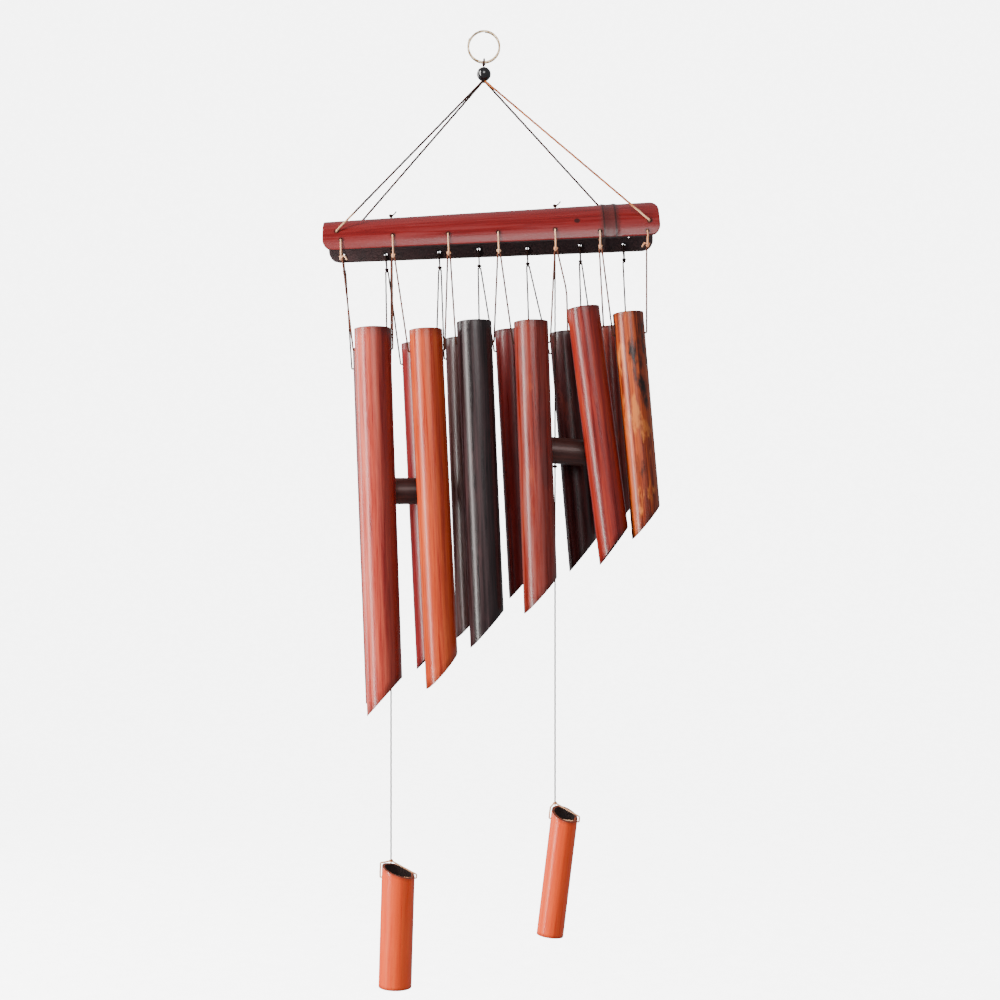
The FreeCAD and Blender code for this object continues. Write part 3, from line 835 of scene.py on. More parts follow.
@dataclass(frozen=True)
class CordSizes:
    """Thicknesses of the cords and their knots."""

    tube: float = 1.3 * MM
    hanger: float = 1.6 * MM
    string: float = 1.2 * MM
    neck: float = 2.8 * MM
    gap: float = 0.3 * MM
    bend: float = 1.4 * MM
    step: float = 0.5 * MM
    lay: float = 5.5
    strands: int = 3
    fullness: float = 1.04
    hanger_bend: float = 2.4 * MM

    def twist(self, diameter: float) -> float:
        """How far a laid cord of a thickness turns per metre, in radians."""
        return math.tau / (self.lay * diameter * self.strands)


CORDS = CordSizes()


def waxed(clay: Clay, name: str, wax: Material) -> Object:
    """Fires the clay of a cord or a knot and gives it its wax.

    Args:
        clay: the clay.
        name: the piece's name.
        wax: its finish.

    Returns:
        The piece.
    """
    piece = clay.piece(name)
    piece.data.materials.append(wax)
    piece.data.shade_smooth()
    return piece


def free_cord(node: str, body: str, path: Row3, diameter: float, wax: Material) -> None:
    """Lays a free cord along its middle line.

    Args:
        node: the plain cord that it stands for.
        body: the body that it rides on.
        path: its middle line.
        diameter: its thickness.
        wax: its finish.
    """
    clay = Clay()
    section = laid_section(diameter / 2 * CORDS.fullness)
    clay.strand(even_steps(path, CORDS.step), section, CORDS.twist(diameter))
    cord = settle(waxed(clay, f"laid_{node}", wax), body, "waxed_cord", node)


def tie(clay: Clay, centre: Vector, radius: float, cord: float, turn: float = 0, tall: float = 1.0) -> None:
    """Adds a tight knot that reaches about a radius from its middle."""
    reach = radius - cord / 2
    path = even_steps(overhand(centre, reach, turn, tall), cord * 0.3)
    clay.strand(path, laid_section(cord / 2, CORDS.strands, 10), CORDS.twist(cord), closed=True)


# ---------------------------------------------------------------- stage
@dataclass
class StudioStage:
    """Camera, soft lights and a pale sweep behind the chime."""

    camera_place: tuple = (0.0126, -1.170, -0.4002)
    middle: Vector = Vector((0, 0, -0.35)).freeze()
    lens: float = 54
    sensor: float = 36
    rise: float = 0.06
    sweep_width: float = 3.9
    sweep_near: float = -0.3
    sweep_far: float = 3.2
    sweep_curve: float = 1.6
    sweep_top: float = 2.6
    floor: float = -0.86
    air_colour: Colour = (0.93, 0.95, 1.0)
    air_strength: float = 0.4

    def set_camera(self) -> None:
        """Places the camera, level with the middle of the tubes."""
        data = bpy.data.cameras.new("front_camera")
        data.lens, data.sensor_width, data.shift_y = self.lens, self.sensor, self.rise
        camera = bpy.data.objects.new("front_camera", data)
        camera.location = self.camera_place
        camera.rotation_euler = (math.pi / 2, 0, 0)
        bpy.context.scene.collection.objects.link(camera)
        bpy.context.scene.camera = camera

    def lay_sweep(self) -> None:
        """Lays a sheet of paper that curves up behind the chime without a corner."""
        far, curve = self.sweep_far, self.sweep_curve
        line = [(self.sweep_near, self.floor), (far - curve, self.floor)]
        for step in range(1, 25):
            angle = math.pi / 2 * step / 24
            line.append((far - curve + curve * math.sin(angle), self.floor + curve - curve * math.cos(angle)))
        line.append((far, self.sweep_top))
        half = self.sweep_width / 2
        clay = Clay()
        clay.skin([[Vector((x, y, z)) for x in (-half, 0, half)] for y, z in line])
        sweep = clay.piece("paper_sweep")
        for face in sweep.data.polygons:
            face.use_smooth = True
        sweep.data.materials.append(BackdropPaper().mix())
        sweep.visible_glossy = sweep.visible_diffuse = False

    def light(self, name: str, place: tuple, power: float, size: tuple, colour: Colour) -> None:
        """Hangs a softbox that faces the middle of the chime.

        Args:
            name: its name.
            place: where it hangs.
            power: its power in watts.
            size: its width and height.
            colour: its light's colour.
        """
        data = bpy.data.lights.new(name, "AREA")
        data.energy, data.shape, data.size, data.size_y = power, "RECTANGLE", *size
        data.color = colour
        lamp = bpy.data.objects.new(name, data)
        lamp.location = place
        lamp.rotation_euler = (self.middle - Vector(place)).to_track_quat("-Z", "Y").to_euler()
        bpy.context.scene.collection.objects.link(lamp)

    def set_lights(self) -> None:
        """Lights the chime from the left, in front and behind, with a weak fill from the front."""
        self.light("window", (-1.2, -0.6, 0.0), 50, (0.3, 1.8), (1, 0.98, 0.95))
        self.light("back_window", (-1.2, 0.55, 0.1), 16, (0.4, 1.6), (1, 0.99, 0.97))
        self.light("fill", (0.2, -2.3, 0.6), 30, (1.2, 1.2), (1, 1, 1))
        world = bpy.data.worlds.new("studio_air")
        world.use_nodes = True
        air = world.node_tree.nodes["Background"].inputs
        air[0].default_value, air[1].default_value = (*self.air_colour, 1), self.air_strength
        bpy.context.scene.world = world


# ---------------------------------------------------------------- ring, bead and hanger
@dataclass
class HangerSet:
    """Split ring, its loop, the bead, and the four cords down to the header."""

    wax: Material
    dark_wax: Material
    ring_outer: float = 12.9 * MM
    wire_radial: float = 1.6 * MM
    turn_width: float = 1.1 * MM
    bead_diameter: float = 11 * MM
    neck_lay: float = 18 * MM
    loop_lay: float = 12 * MM
    loop_knot: float = 1.5 * MM

    def __post_init__(self) -> None:
        """Reads where the bead and the neck of the cords lie."""
        low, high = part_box("top_bead")
        self.bead_middle = (low + high) / 2
        self.neck_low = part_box("neck_cord")[0].z
        self.neck_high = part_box("neck_cord")[1].z

    def lay_cords(self) -> None:
        """Lays the four hanger cords and their neck."""
        spread = CORDS.neck / 2 - CORDS.hanger / 4
        for row in Row:
            for side in Side:
                along, up = hanger_hole(row, side)
                out = across_at(HEADER.outer(along), up) + CORDS.hanger / 2 + CORDS.gap
                inside = across_at(HEADER.inner(along), up) - CORDS.gap
                start = Vector((side.value * spread, row.value * spread, self.neck_low))
                mouth = HEADER.to_world(along, row.value * out, up)
                end = HEADER.to_world(along, row.value * inside, up)
                path = spline_line([start, mouth, end], CORDS.hanger_bend)
                wax = self.wax if (row, side) == (Row.FRONT, Side.RIGHT) else self.dark_wax
                free_cord(f"hanger_cord_{row.word}_{side.word}", "header", path, CORDS.hanger, wax)
        neck = Clay()
        ends = [Vector((0, 0, height)) for height in (self.neck_low - 1 * MM, self.neck_high)]
        section = laid_section(CORDS.neck / 2, 4, 20, 0.3)
        neck.strand(even_steps(ends, CORDS.step), section, math.tau / self.neck_lay)
        settle(waxed(neck, "gathered_neck_cords", self.dark_wax), "header", "waxed_cord", "neck_cord")

    def tie_inner_knots(self) -> None:
        """Ties the knots that keep the hanger cords from slipping out of the header."""
        clay = Clay()
        radius = HEADER.hanger_hole + CORDS.gap
        for row in Row:
            for side in Side:
                along, up = hanger_hole(row, side)
                inner = across_at(HEADER.inner(along), up) - 2 * CORDS.gap - radius
                tie(clay, HEADER.to_world(along, row.value * inner, up), radius, CORDS.hanger * 0.7, 0.4)
        settle(waxed(clay, "hanger_stop_knots", self.dark_wax), "header", "waxed_cord", "hanger_knots")

    def wind_ring(self) -> None:
        """Winds the split ring: two flat turns with a crossing, and one end left a little proud."""
        radius = self.ring_outer - self.wire_radial / 2
        offset = self.turn_width / 2 + 0.05 * MM
        first, cross, count = math.radians(150), math.radians(60), 260
        total = math.tau * 2 - math.radians(64)
        line = []
        for number in range(count + 1):
            gone = total * number / count
            share = min(1, max(0, (gone - (math.tau - cross)) / cross))
            share = share * share * (3 - 2 * share)
            proud = 0.5 * MM * max(0, 1 - gone / 0.35) ** 2
            angle = first + gone
            reach = radius + proud
            line.append(Vector((reach * math.cos(angle), offset * (2 * share - 1), reach * math.sin(angle))))
        half, wide, soft = self.wire_radial / 2, self.turn_width / 2, 0.22 * MM
        outline = []
        for u, v in ((1, 1), (-1, 1), (-1, -1), (1, -1)):
            for k in range(4):
                angle = math.atan2(v, u) - math.pi / 4 + k * math.pi / 6
                corner = soft * math.cos(angle), soft * math.sin(angle)
                outline.append((u * (wide - soft) + corner[0], v * (half - soft) + corner[1]))
        rows = []
        for number, point in enumerate(line):
            out = Vector((point.x, 0, point.z)).normalized()
            rows.append([point + Vector((0, 1, 0)) * u + out * v for u, v in outline])
        clay = Clay()
        clay.skin(rows, around=True)
        clay.cap(0, rows)
        ring = clay.piece("split_ring")
        ring.data.materials.append(RingMetal().mix())
        soften(ring, 40)
        settle(ring, "ring", "ring_steel", "hang_ring")

    def tie_loop(self) -> None:
        """Ties the loop that hangs on the ring, with its knot above the bead."""
        low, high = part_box("ring_loop")
        centre, reach = (low + high) / 2, (high.z - low.z) / 2 - CORDS.hanger / 2
        circle = []
        for angle in around(80):
            off = Vector((0.25 * MM * math.sin(angle), reach * math.cos(angle), reach * math.sin(angle)))
            circle.append(centre + off)
        clay = Clay()
        clay.strand(circle, laid_section(CORDS.hanger / 2), math.tau / self.loop_lay, closed=True)
        tie(clay, Vector((0, 0, low.z + self.loop_knot)), self.loop_knot, CORDS.hanger * 0.72, 0.5, 0.8)
        settle(waxed(clay, "ring_loop_cord", self.dark_wax), "ring_loop", "waxed_cord", "ring_loop")

    def turn_bead(self) -> None:
        """Turns the bead, with softened mouths to its bore."""
        bore = CORDS.neck / 2 + CORDS.gap
        radius = self.bead_diameter / 2
        start = math.asin((bore + 0.5 * MM) / radius)
        mouth = math.cos(start) * radius
        profile = [(bore, mouth - 0.75 * MM), (bore + 0.12 * MM, mouth - 0.28 * MM)]
        for step in range(29):
            angle = start + (math.pi - 2 * start) * step / 28
            profile.append((radius * math.sin(angle), radius * 0.985 * math.cos(angle)))
        profile += [(r, -z) for r, z in reversed(profile[:2])]
        rows = [[Vector((r * math.cos(a), r * math.sin(a), z)) for a in around(56)] for r, z in profile]
        clay = Clay()
        clay.skin(rows, around=True, closed=True)
        bead = clay.piece("glazed_bead", Matrix.Translation(self.bead_middle))
        bead.data.materials.append(BeadGlaze().mix())
        soften(bead, 40)
        settle(bead, "bead", "bead_glaze", "top_bead")

    def build(self) -> None:
        """Makes everything above the header."""
        self.tie_inner_knots()
        self.wind_ring()
        self.tie_loop()
        self.turn_bead()


# ---------------------------------------------------------------- header
@dataclass
class CulmHeader:
    """The split culm that the cords of both rows are threaded through."""

    finishes: Sequence[Material]
    steps_along: int = 150
    steps_round: int = 72

    def wall_line(self, along_share: float, inside: bool) -> Row3:
        """Points round one wall at a share of the way along.

        Args:
            along_share: the share, from 0 at the left end to 1.
            inside: whether it is the inner wall.

        Returns:
            The points, from the front edge over the top to the back edge.
        """
        made = []
        for number in range(self.steps_round + 1):
            along = (along_share - 0.5) * HEADER.length
            share = 2 * number / self.steps_round - 1
            for _ in range(3):
                radius = HEADER.inner(along) if inside else HEADER.outer(along)
                sweep = math.acos(-HEADER.cut_drop / radius)
                angle = sweep * share
                up = radius * math.cos(angle)
                left, right = HEADER.end(Side.LEFT, up), HEADER.end(Side.RIGHT, up)
                along = left + (right - left) * along_share
            stray = noise.noise(Vector((along * 14, math.sin(angle) * 1.2, math.cos(angle) * 1.2)))
            radius += stray * (0.22 if inside else 0.3) * MM * math.cos(angle) ** 2
            made.append(Vector((along, radius * math.sin(angle), radius * math.cos(angle))))
        return made

    def build(self) -> None:
        """Shapes, drills and dresses the header."""
        shares = [k / self.steps_along for k in range(self.steps_along + 1)]
        outer = [self.wall_line(share, False) for share in shares]
        inner = [self.wall_line(share, True) for share in shares]
        clay = Clay()
        clay.skin([o + i[::-1] for o, i in zip(outer, inner)], around=True)
        wide = self.steps_round + 1
        for first in (0, 2 * wide * self.steps_along):
            for k in range(self.steps_round):
                back = first + 2 * wide - 1 - k
                clay.faces.append([first + k, first + k + 1, back - 1, back])
        header = clay.piece("split_culm_header", HEADER.place)
        bevel = header.modifiers.new("worn_edges", "BEVEL")
        bevel.width, bevel.segments = 0.45 * MM, 2
        bevel.limit_method, bevel.angle_limit = "ANGLE", math.radians(50)
        replace_mesh(header)
        drill(header, self.holes())
        soften(header, 32)
        dress_walls(header, self.finishes, lambda p: Vector((0, p.y, p.z)).normalized())
        settle(header, "header", "header_bamboo", "header")

    def holes(self) -> list[Drilling]:
        """The edge holes, the hanger holes and the two holes for the strings."""
        made, reaches = [], (12 * MM, 40 * MM)
        for row in Row:
            places = [(*HOLES[row].hole(number, HEADER), HEADER.edge_hole) for number in range(1, 8)]
            places += [(*hanger_hole(row, side), HEADER.hanger_hole) for side in Side]
            for along, up, radius in places:
                made.append(Drilling(*(Vector((along, row.value * reach, up)) for reach in reaches), radius))
        for side in Side:
            along = string_station(side)
            made.append(Drilling(*(Vector((along, 0, reach)) for reach in reaches), HEADER.string_hole))
        return made


def string_station(side: Side) -> float:
    """Where a clapper's string passes through the header, along the header."""
    place = Vector(joint(f"string_sway_{side.word}")["pos_m"])
    return (HEADER.place.inverted() @ place).x


@dataclass
class EdgeLoops:
    """The loops of one row, each through its hole and tied under the header's edge."""

    row: Row
    wax: Material
    knot_radius: float = 1.8 * MM
    tails: tuple[int, ...] = ()

    def build(self) -> None:
        """Ties the seven loops of the row."""
        clay = Clay()
        low = -HEADER.cut_drop
        height = low - HEADER.knot_drop
        half = CORDS.tube / 2
        clear = half + CORDS.gap
        for number in range(1, len(HOLES[self.row].stray) + 1):
            along, up = HOLES[self.row].hole(number, HEADER)
            outer = across_at(HEADER.outer(along), up) + clear
            inner = across_at(HEADER.inner(along), up) - clear
            stations = [
                (HEADER.radius - self.knot_radius / 2, height),
                (HEADER.inner(along) - clear, low - clear),
                (inner, up),
                (outer, up),
                (HEADER.outer(along) + clear + CORDS.gap, low),
                (HEADER.radius + self.knot_radius / 2, height),
            ]
            points = [HEADER.to_world(along, self.row.value * across, rise) for across, rise in stations]
            path = even_steps(spline_line(points, CORDS.bend), CORDS.step)
            clay.strand(path, laid_section(half), CORDS.twist(CORDS.tube))
            centre = HEADER.to_world(along, self.row.value * HEADER.radius, height)
            tie(clay, centre, self.knot_radius * 1.06, CORDS.tube * 0.86, 0.5 * math.sin(5 * number), 1.15)
            if number in self.tails:
                self.leave_tail(clay, centre, number)
        loops = waxed(clay, f"edge_loops_of_{self.row.word}_row", self.wax)
        settle(loops, "header", "waxed_cord", f"edge_loops_{self.row.word}")

    def leave_tail(self, clay: Clay, centre: Vector, number: int) -> None:
        """Leaves a short cut end beside a knot."""
        way = -1 if number > 1 else 1
        points = [Vector((0, 0, 0)), Vector((way * 2.4, -0.6, 1.6)), Vector((way * 4.6, -1.0, -1.8))]
        path = even_steps(spline_line([centre + point * MM for point in points], 1.5 * MM), CORDS.step)
        clay.strand(path, laid_section(CORDS.tube / 2), CORDS.twist(CORDS.tube))


# ---------------------------------------------------------------- tubes
@dataclass
class HungCulm:
    """A piece of culm with a plain or slanted end at each end and two side holes for its cord."""

    node: str
    tilt_joint: str
    body: str
    slot: str
    finishes: Sequence[Material]
    wall: float = 2.4 * MM
    foot_slope: float = 0.0
    top_slope: float = 0.0
    side_hole: float = 1.2 * MM
    sides: int = 84
    rows: int = 34
    seed: float = 0.0

    def __post_init__(self) -> None:
        """Reads how long and wide the plain part is and which way its slanted end faces."""
        self.place = hang_place(self.tilt_joint)
        back = self.place.inverted()
        points = [back @ vertex.co for vertex in frame["nodes"][self.node].data.vertices]
        self.radius = max(math.hypot(point.x, point.y) for point in points)
        lowest = min(points, key=lambda point: point.z)
        highest = max(points, key=lambda point: point.z)
        self.foot, self.top = lowest.z, highest.z
        self.foot_way = math.atan2(lowest.y, lowest.x)
        self.top_way = math.atan2(highest.y, highest.x)

    def ends(self, reach: float, angle: float) -> tuple[float, float]:
        """Heights of the top and the foot at a place round the culm.

        Args:
            reach: how far from the axis.
            angle: the place, in radians.

        Returns:
            The top's height and the foot's.
        """
        foot = self.foot + math.tan(self.foot_slope) * (self.radius - reach * math.cos(angle - self.foot_way))
        top = self.top - math.tan(self.top_slope) * (self.radius - reach * math.cos(angle - self.top_way))
        return top, foot

    def ring(self, reach: float, share: float, nudge: float) -> Row3:
        """A ring of points on a wall, a share of the way down and then nudged along the axis."""
        made = []
        for angle in around(self.sides):
            top, foot = self.ends(reach, angle)
            height = top + (foot - top) * share + nudge
            place = Vector((math.cos(angle) * 0.9, math.sin(angle) * 0.9, height * 9 + self.seed))
            stray = noise.noise(place) * 0.16 * MM + noise.noise(place * 3.1) * 0.05 * MM
            wide = reach - 0.1 * MM + stray
            made.append(Vector((wide * math.cos(angle), wide * math.sin(angle), height)))
        return made

    def build(self) -> None:
        """Shapes, drills and dresses the culm."""
        outer, inner, soft = self.radius, self.radius - self.wall, 0.3 * MM
        round_off = 0.3 * soft
        shares = [(k / self.rows, soft * (1 - 2 * k / self.rows)) for k in range(self.rows + 1)]
        rings = [self.ring(outer - soft, 0, 0), self.ring(outer - round_off, 0, -round_off)]
        rings += [self.ring(outer, share, -nudge) for share, nudge in shares]
        rings += [self.ring(outer - round_off, 1, round_off), self.ring(outer - soft, 1, 0)]
        rings += [self.ring(inner + soft, 1, 0)]
        rings += [self.ring(inner, 1 - share, nudge) for share, nudge in shares]
        rings += [self.ring(inner + soft, 0, 0)]
        clay = Clay()
        clay.skin(rings, around=True, closed=True)
        culm = clay.piece(f"culm_{self.node}", self.place)
        reach = self.radius * 1.3
        drill(culm, [Drilling(Vector((-reach, 0, 0)), Vector((reach, 0, 0)), self.side_hole)])
        self.darken_rims(culm)
        soften(culm, 30)
        dress_walls(culm, self.finishes, lambda p: Vector((p.x, p.y, 0)).normalized())
        settle(culm, self.body, self.slot, self.node)

    def darken_rims(self, culm: Object) -> None:
        """Marks the handled rims at both ends as darker."""
        burn = culm.data.attributes["burn"].data
        skin_depth, darkest, fade = 0.6 * MM, 0.9, 0.9 * MM
        for vertex in culm.data.vertices:
            point, mark = vertex.co, burn[vertex.index]
            reach = math.hypot(point.x, point.y)
            top, foot = self.ends(reach, math.atan2(point.y, point.x))
            near = min(abs(top - point.z), abs(point.z - foot))
            if reach > self.radius - skin_depth:
                mark.value = max(mark.value, 0.0, darkest - near / fade)


@dataclass(frozen=True)
class CulmTint:
    """Stain of one tube: its four tones, its patchiness, its greyness and how dark its right side is, partly
    stain and partly painted shade.
    """

    dark: Colour
    body: Colour
    warm: Colour
    pale: Colour
    patches: float = 0.3
    grey: float = 0.0
    dark_side: float = 0.3


# The last number of a tint, 0.3 unless given, darkens the tube's right side: partly stain, partly painted
# shade.
FRONT_TINTS = (
    CulmTint(tint(78, 10, 14), tint(164, 44, 32), tint(206, 82, 58), tint(226, 112, 84), 0.12, 0.0, 0.85),
    CulmTint(tint(104, 22, 10), tint(176, 52, 18), tint(206, 78, 28), tint(224, 112, 56), 0.16, 0.0, 0.4),
    CulmTint(tint(9, 5, 7), tint(22, 9, 11), tint(44, 14, 15), tint(74, 40, 42), 0.3, 0.1, 0.4),
    CulmTint(tint(54, 12, 10), tint(112, 26, 16), tint(148, 44, 20), tint(176, 72, 34), 0.4, 0.25, 0.4),
    CulmTint(tint(58, 8, 8), tint(112, 18, 14), tint(146, 34, 18), tint(184, 70, 26), 0.3, 0.0, 0.4),
    CulmTint(tint(28, 7, 4), tint(112, 34, 10), tint(186, 76, 22), tint(220, 124, 54), 1.0, 0.0, 0.4),
)
BACK_TINTS = (
    CulmTint(tint(46, 8, 12), tint(88, 16, 18), tint(112, 24, 24), tint(134, 44, 38), 0.2),
    CulmTint(tint(50, 8, 14), tint(104, 18, 22), tint(132, 28, 28), tint(150, 50, 44), 0.2),
    CulmTint(tint(26, 16, 16), tint(56, 30, 28), tint(80, 42, 38), tint(110, 74, 68), 0.3, 0.35),
    CulmTint(tint(48, 8, 10), tint(94, 18, 18), tint(118, 26, 22), tint(140, 46, 36), 0.25),
    CulmTint(tint(18, 6, 7), tint(48, 12, 12), tint(76, 18, 16), tint(122, 42, 26), 0.5, 0.1),
    CulmTint(tint(44, 8, 8), tint(96, 18, 14), tint(130, 32, 18), tint(164, 60, 28), 0.35),
)


@dataclass
class TubeRow:
    """Six tubes of one row with the cords that carry them."""

    row: Row
    tints: Sequence[CulmTint]
    wax: Material
    flesh: Sequence[Material]
    foot_slope: float = math.radians(46)
    leg_spread: float = 0.95 * MM
    knot_radius: float = 1.8 * MM
    bow: float = 3.2 * MM
    bow_bend: float = 18 * MM

    def lay_cords(self, slack: Sequence[int] = ()) -> None:
        """Lays each tube's cord: down one side, through the tube and up the other.

        Args:
            slack: tubes whose left leg hangs in a bow.
        """
        for number in range(1, len(self.tints) + 1):
            place = hang_place(f"tilt_{self.row.word}_{number}")
            low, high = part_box(f"chime_tube_{self.row.word}_{number}")
            reach = (high.y - low.y) / 2 + 0.5 * MM + CORDS.tube / 2
            height = -HEADER.cut_drop - HEADER.knot_drop - self.knot_radius * 0.7
            ends = []
            for way, hole in ((-1, number), (1, number + 1)):
                along = HOLES[self.row].hole(hole, HEADER)[0] - way * self.leg_spread
                ends.append(HEADER.to_world(along, self.row.value * HEADER.radius, height))
            corners = [place @ Vector((way * reach, 0, 0)) for way in (-1, 1)]
            points = [ends[0], corners[0], corners[1], ends[1]]
            if number in slack:
                points.insert(1, ends[0].lerp(corners[0], 0.5) + Vector((self.bow, 0, 0)))
            path = self.slack_line(points) if number in slack else spline_line(points, CORDS.bend)
            name = f"cord_{self.row.word}_{number}"
            free_cord(f"tube_{name}", name, path, CORDS.tube, self.wax)

    def slack_line(self, points: Row3) -> Row3:
        """The line of a cord whose left leg bows before it meets the tube."""
        first = spline_line(points[:3], self.bow_bend)
        rest = spline_line([first[-2], *points[2:]], CORDS.bend)
        return first[:-2] + rest

    def build(self) -> None:
        """Makes the six tubes."""
        for number, shade in enumerate(self.tints, 1):
            name = f"{self.row.word}_{number}"
            skin = BambooSkin(
                f"stained_skin_{name}", shade.dark, shade.body, shade.warm, shade.pale, patches=shade.patches,
                grey=shade.grey, dark_side=shade.dark_side, seed=number * 3.7 + self.row.value,
            )
            HungCulm(
                f"chime_tube_{name}", f"tilt_{name}", f"tube_{name}", f"tube_bamboo_{self.row.word}",
                [skin.mix(), *self.flesh], foot_slope=self.foot_slope, seed=number * 5.1 + self.row.value,
            ).build()


# ---------------------------------------------------------------- clapper lines
@dataclass
class ClapperLine:
    """One string: its knot on the header, its clapper between the rows and its wind catcher."""

    side: Side
    wax: Material
    dark_wax: Material
    clapper_finishes: Sequence[Material]
    catcher_finishes: Sequence[Material]
    slope: float = 0.0
    clapper_length: float = 48 * MM
    clapper_wall: float = 3 * MM
    bore: float = 2 * MM
    knot_radius: float = 1.9 * MM
    top_slope: float = 0.0
    rim_gap: float = 1.6 * MM

    def __post_init__(self) -> None:
        """Reads where the knots and the side holes of the catcher lie."""
        word = self.side.word
        self.top = Vector(joint(f"string_sway_{word}")["pos_m"])
        self.clapper_middle = Vector(joint(f"clapper_twist_{word}")["pos_m"])
        self.knot = Vector(joint(f"lower_string_sway_{word}")["pos_m"])
        self.loop_knot = Vector(joint(f"catcher_turn_{word}")["pos_m"])
        self.catcher = HungCulm(
            f"wind_catcher_{word}", f"catcher_tilt_{word}", f"catcher_{word}", "catcher_bamboo",
            self.catcher_finishes, top_slope=self.top_slope, seed=self.side.value * 9.3,
        )

    def lay_cords(self) -> None:
        """Lays the two lengths of string and the catcher's loop."""
        word, tuck = self.side.word, 0.8 * MM
        for name, above, below in (("upper", self.top, self.knot), ("lower", self.knot, self.loop_knot)):
            start, end = above - Z * tuck, below + Z * tuck
            path = spline_line([start, start.lerp(end, 0.5), end], CORDS.bend)
            string = f"{name}_string_{word}"
            free_cord(string, string, path, CORDS.string, self.dark_wax)
        self.lay_loop()

    def lay_loop(self) -> None:
        """Lays the loop over the catcher's rim and through its side holes, with the knot it hangs from."""
        word = self.side.word
        place = hang_place(f"catcher_tilt_{word}")
        reach = self.catcher.radius + 0.5 * MM + CORDS.tube / 2
        left = self.catcher.ends(self.catcher.radius, math.pi)[0] + self.rim_gap
        right = self.catcher.ends(self.catcher.radius, 0)[0] + self.rim_gap
        stations = [(-reach, left), (-reach, 0), (reach, 0), (reach, right)]
        apart = Vector((CORDS.tube / 2, 0, 0))
        turns = [place @ Vector((x, 0, z)) for x, z in stations]
        path = spline_line([self.loop_knot - apart, *turns, self.loop_knot + apart], CORDS.bend)
        free_cord(f"catcher_loop_{word}", f"catcher_loop_{word}", path, CORDS.tube, self.wax)
        clay = Clay()
        tie(clay, self.loop_knot, self.knot_radius, CORDS.tube * 0.86, 0.6)
        knot = waxed(clay, f"loop_knot_{word}", self.wax)
        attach(knot, f"catcher_loop_{word}")

    def tie_knots(self) -> None:
        """Ties the knot on the header and the one under the clapper."""
        word = self.side.word
        for name, place, body, node in (
            ("top", self.top, f"string_knot_{word}", f"string_top_knot_{word}"),
            ("under", self.knot, f"clapper_knot_{word}", f"clapper_knot_{word}"),
        ):
            clay = Clay()
            tie(clay, place, self.knot_radius, CORDS.string * 0.9, 0.3)
            if name == "top":
                tail = [place, place + Vector((2.6, -0.8, 1.4)) * MM, place + Vector((4.2, -1.2, 3.4)) * MM]
                path = even_steps(spline_line(tail, 1.2 * MM), CORDS.step)
                clay.strand(path, laid_section(CORDS.string * 0.45))
            settle(waxed(clay, f"{name}_knot_{word}", self.dark_wax), body, "waxed_cord", node)

    def shape_clapper(self) -> None:
        """Shapes the clapper, which lies across its string."""
        word = self.side.word
        low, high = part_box(f"clapper_{word}")
        radius, sides = (high.y - low.y) / 2, 64
        place = Matrix.Translation(self.clapper_middle) @ Matrix.Rotation(self.slope, 4, "Y")
        half, inner, soft = self.clapper_length / 2, radius - self.clapper_wall, 0.35 * MM
        round_off, flat = 0.3 * soft, 2 * half - 2 * soft
        profile = [(radius, -half + soft + flat * k / 22) for k in range(23)]
        profile += [(radius - round_off, half - round_off), (radius - soft, half), (inner + soft, half)]
        profile += [(inner, half - soft - flat * k / 22) for k in range(23)]
        profile += [(inner + soft, -half), (radius - soft, -half), (radius - round_off, -half + round_off)]
        rows = []
        for reach, along in profile:
            row = []
            for angle in around(sides):
                stray = noise.noise(Vector((along * 22, math.cos(angle), math.sin(angle)))) * 0.18 * MM
                wide = reach - 0.1 * MM + stray
                row.append(Vector((along, wide * math.cos(angle), wide * math.sin(angle))))
            rows.append(row)
        clay = Clay()
        clay.skin(rows, around=True, closed=True)
        clapper = clay.piece(f"culm_clapper_{word}", place)
        reach = radius * 1.3
        drill(clapper, [Drilling(Vector((0, 0, -reach)), Vector((0, 0, reach)), self.bore)])
        soften(clapper, 30)
        dress_walls(clapper, self.clapper_finishes, lambda p: Vector((0, p.y, p.z)).normalized())
        settle(clapper, f"clapper_{word}", "clapper_bamboo", f"clapper_{word}")

    def build(self) -> None:
        """Makes the knots, the clapper and the catcher."""
        self.tie_knots()
        self.shape_clapper()
        self.catcher.build()


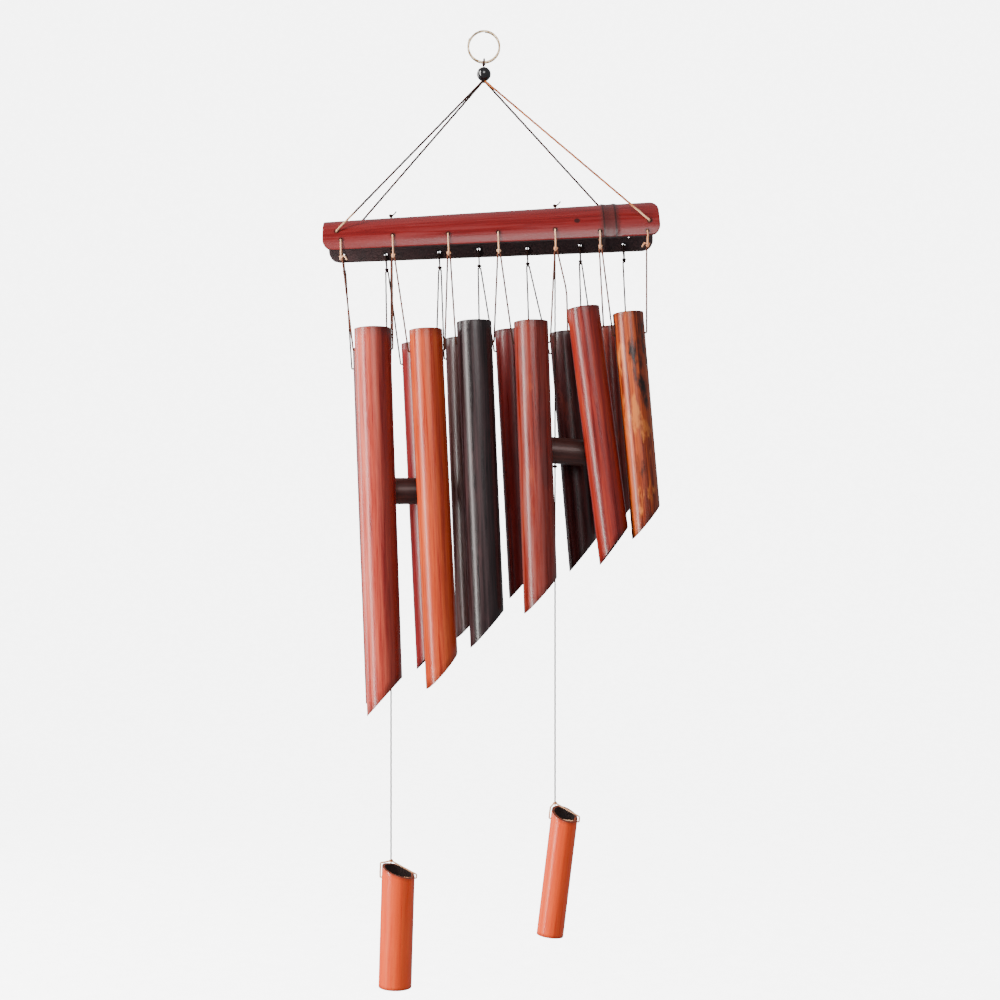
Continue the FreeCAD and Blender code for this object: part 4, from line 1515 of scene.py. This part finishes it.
def main() -> None:
    """Makes the whole chime, cords first, then the hard pieces, then the light."""
    studio = StudioStage()
    studio.set_camera()
    tan = CordWax("tan_waxed_cord", tint(230, 156, 112), tint(246, 198, 158), tint(150, 88, 58)).mix()
    hung = CordWax("hung_waxed_cord", tint(70, 36, 26), tint(112, 62, 44), tint(34, 18, 14), 6).mix()
    browns = tint(34, 20, 16), tint(66, 38, 28), tint(18, 11, 10)
    brown = CordWax("brown_waxed_cord", *browns, 4).mix()
    # The hanger cords turn this cream colour below a height, where they cross the header: painted light; the
    # darker colour above is painted shade.
    lit_cream = tint(226, 176, 136)
    ambers = tint(150, 74, 30), tint(188, 104, 50), tint(84, 40, 20)
    amber = CordWax("amber_hanger_cord", *ambers, 8, -0.128, lit_cream).mix()
    dark = CordWax("dark_hanger_cord", *browns, 9, -0.132, lit_cream).mix()
    hanger = HangerSet(amber, dark)
    hanger.lay_cords()
    dusk = BambooFlesh("shaded_tube_inside", tint(22, 10, 9), tint(44, 20, 17), 0.8)
    sawn = BambooFlesh("sawn_tube_end", tint(56, 26, 22), tint(112, 62, 48), 0.7, 3)
    flesh = [dusk.mix(), sawn.mix()]
    rows = [TubeRow(Row.FRONT, FRONT_TINTS, hung, flesh), TubeRow(Row.BACK, BACK_TINTS, brown, flesh)]
    rows[0].lay_cords(slack=(5,))
    rows[1].lay_cords()
    clapper_skin = BambooSkin(
        "dull_clapper_skin", tint(34, 16, 14), tint(66, 32, 27), tint(84, 44, 37), tint(108, 64, 54),
        along_x=True, half_width=27 * MM, gloss=0.42,
    ).mix()
    rim = BambooFlesh("pale_catcher_rim", tint(110, 44, 26), tint(170, 84, 52), 0.6, 6).mix()
    lines = []
    for side, slope, top in ((Side.LEFT, 0, 19), (Side.RIGHT, 5, 24)):
        # The catchers' right sides are darkened a little: partly stain, partly painted shade.
        skin = BambooSkin(
            f"orange_catcher_skin_{side.word}", tint(176, 44, 12), tint(232, 72, 20), tint(244, 86, 28),
            tint(250, 112, 48), patches=0.12, dark_side=0.25, seed=side.value * 6.0,
        ).mix()
        lines.append(
            ClapperLine(
                side, tan, brown, [clapper_skin, *flesh], [skin, flesh[0], rim],
                math.radians(slope), top_slope=math.radians(top),
            )
        )
    for line in lines:
        line.lay_cords()
    EdgeLoops(Row.FRONT, tan, tails=(1, 7)).build()
    EdgeLoops(Row.BACK, brown).build()
    hanger.build()
    header_skin = BambooSkin(
        "mahogany_header_skin", tint(84, 11, 12), tint(110, 15, 15), tint(126, 20, 17), tint(142, 34, 28),
        along_x=True, patches=0.2, grey=0.1, gloss=0.26, node_at=HEADER.node_at,
        scar_at=(66 * MM, -25.5 * MM, 13 * MM),
    )
    # Painted shade: the header's inner wall faces down into its own hollow and is coloured dark for the shade
    # it lies in.
    inside = BambooFlesh("dark_header_inside", tint(34, 20, 22), tint(70, 44, 45), 0.7, 2)
    # Painted shade: the header's sawn edges are darkened so that they stay dark instead of catching the
    # light.
    edge = BambooFlesh("worn_header_edge", tint(40, 16, 14), tint(72, 36, 30), 0.65, 5)
    CulmHeader([header_skin.mix(), inside.mix(), edge.mix()]).build()
    for row in rows:
        row.build()
    for line in lines:
        line.build()
    studio.lay_sweep()
    studio.set_lights()


if __name__ == "__main__":
    main()
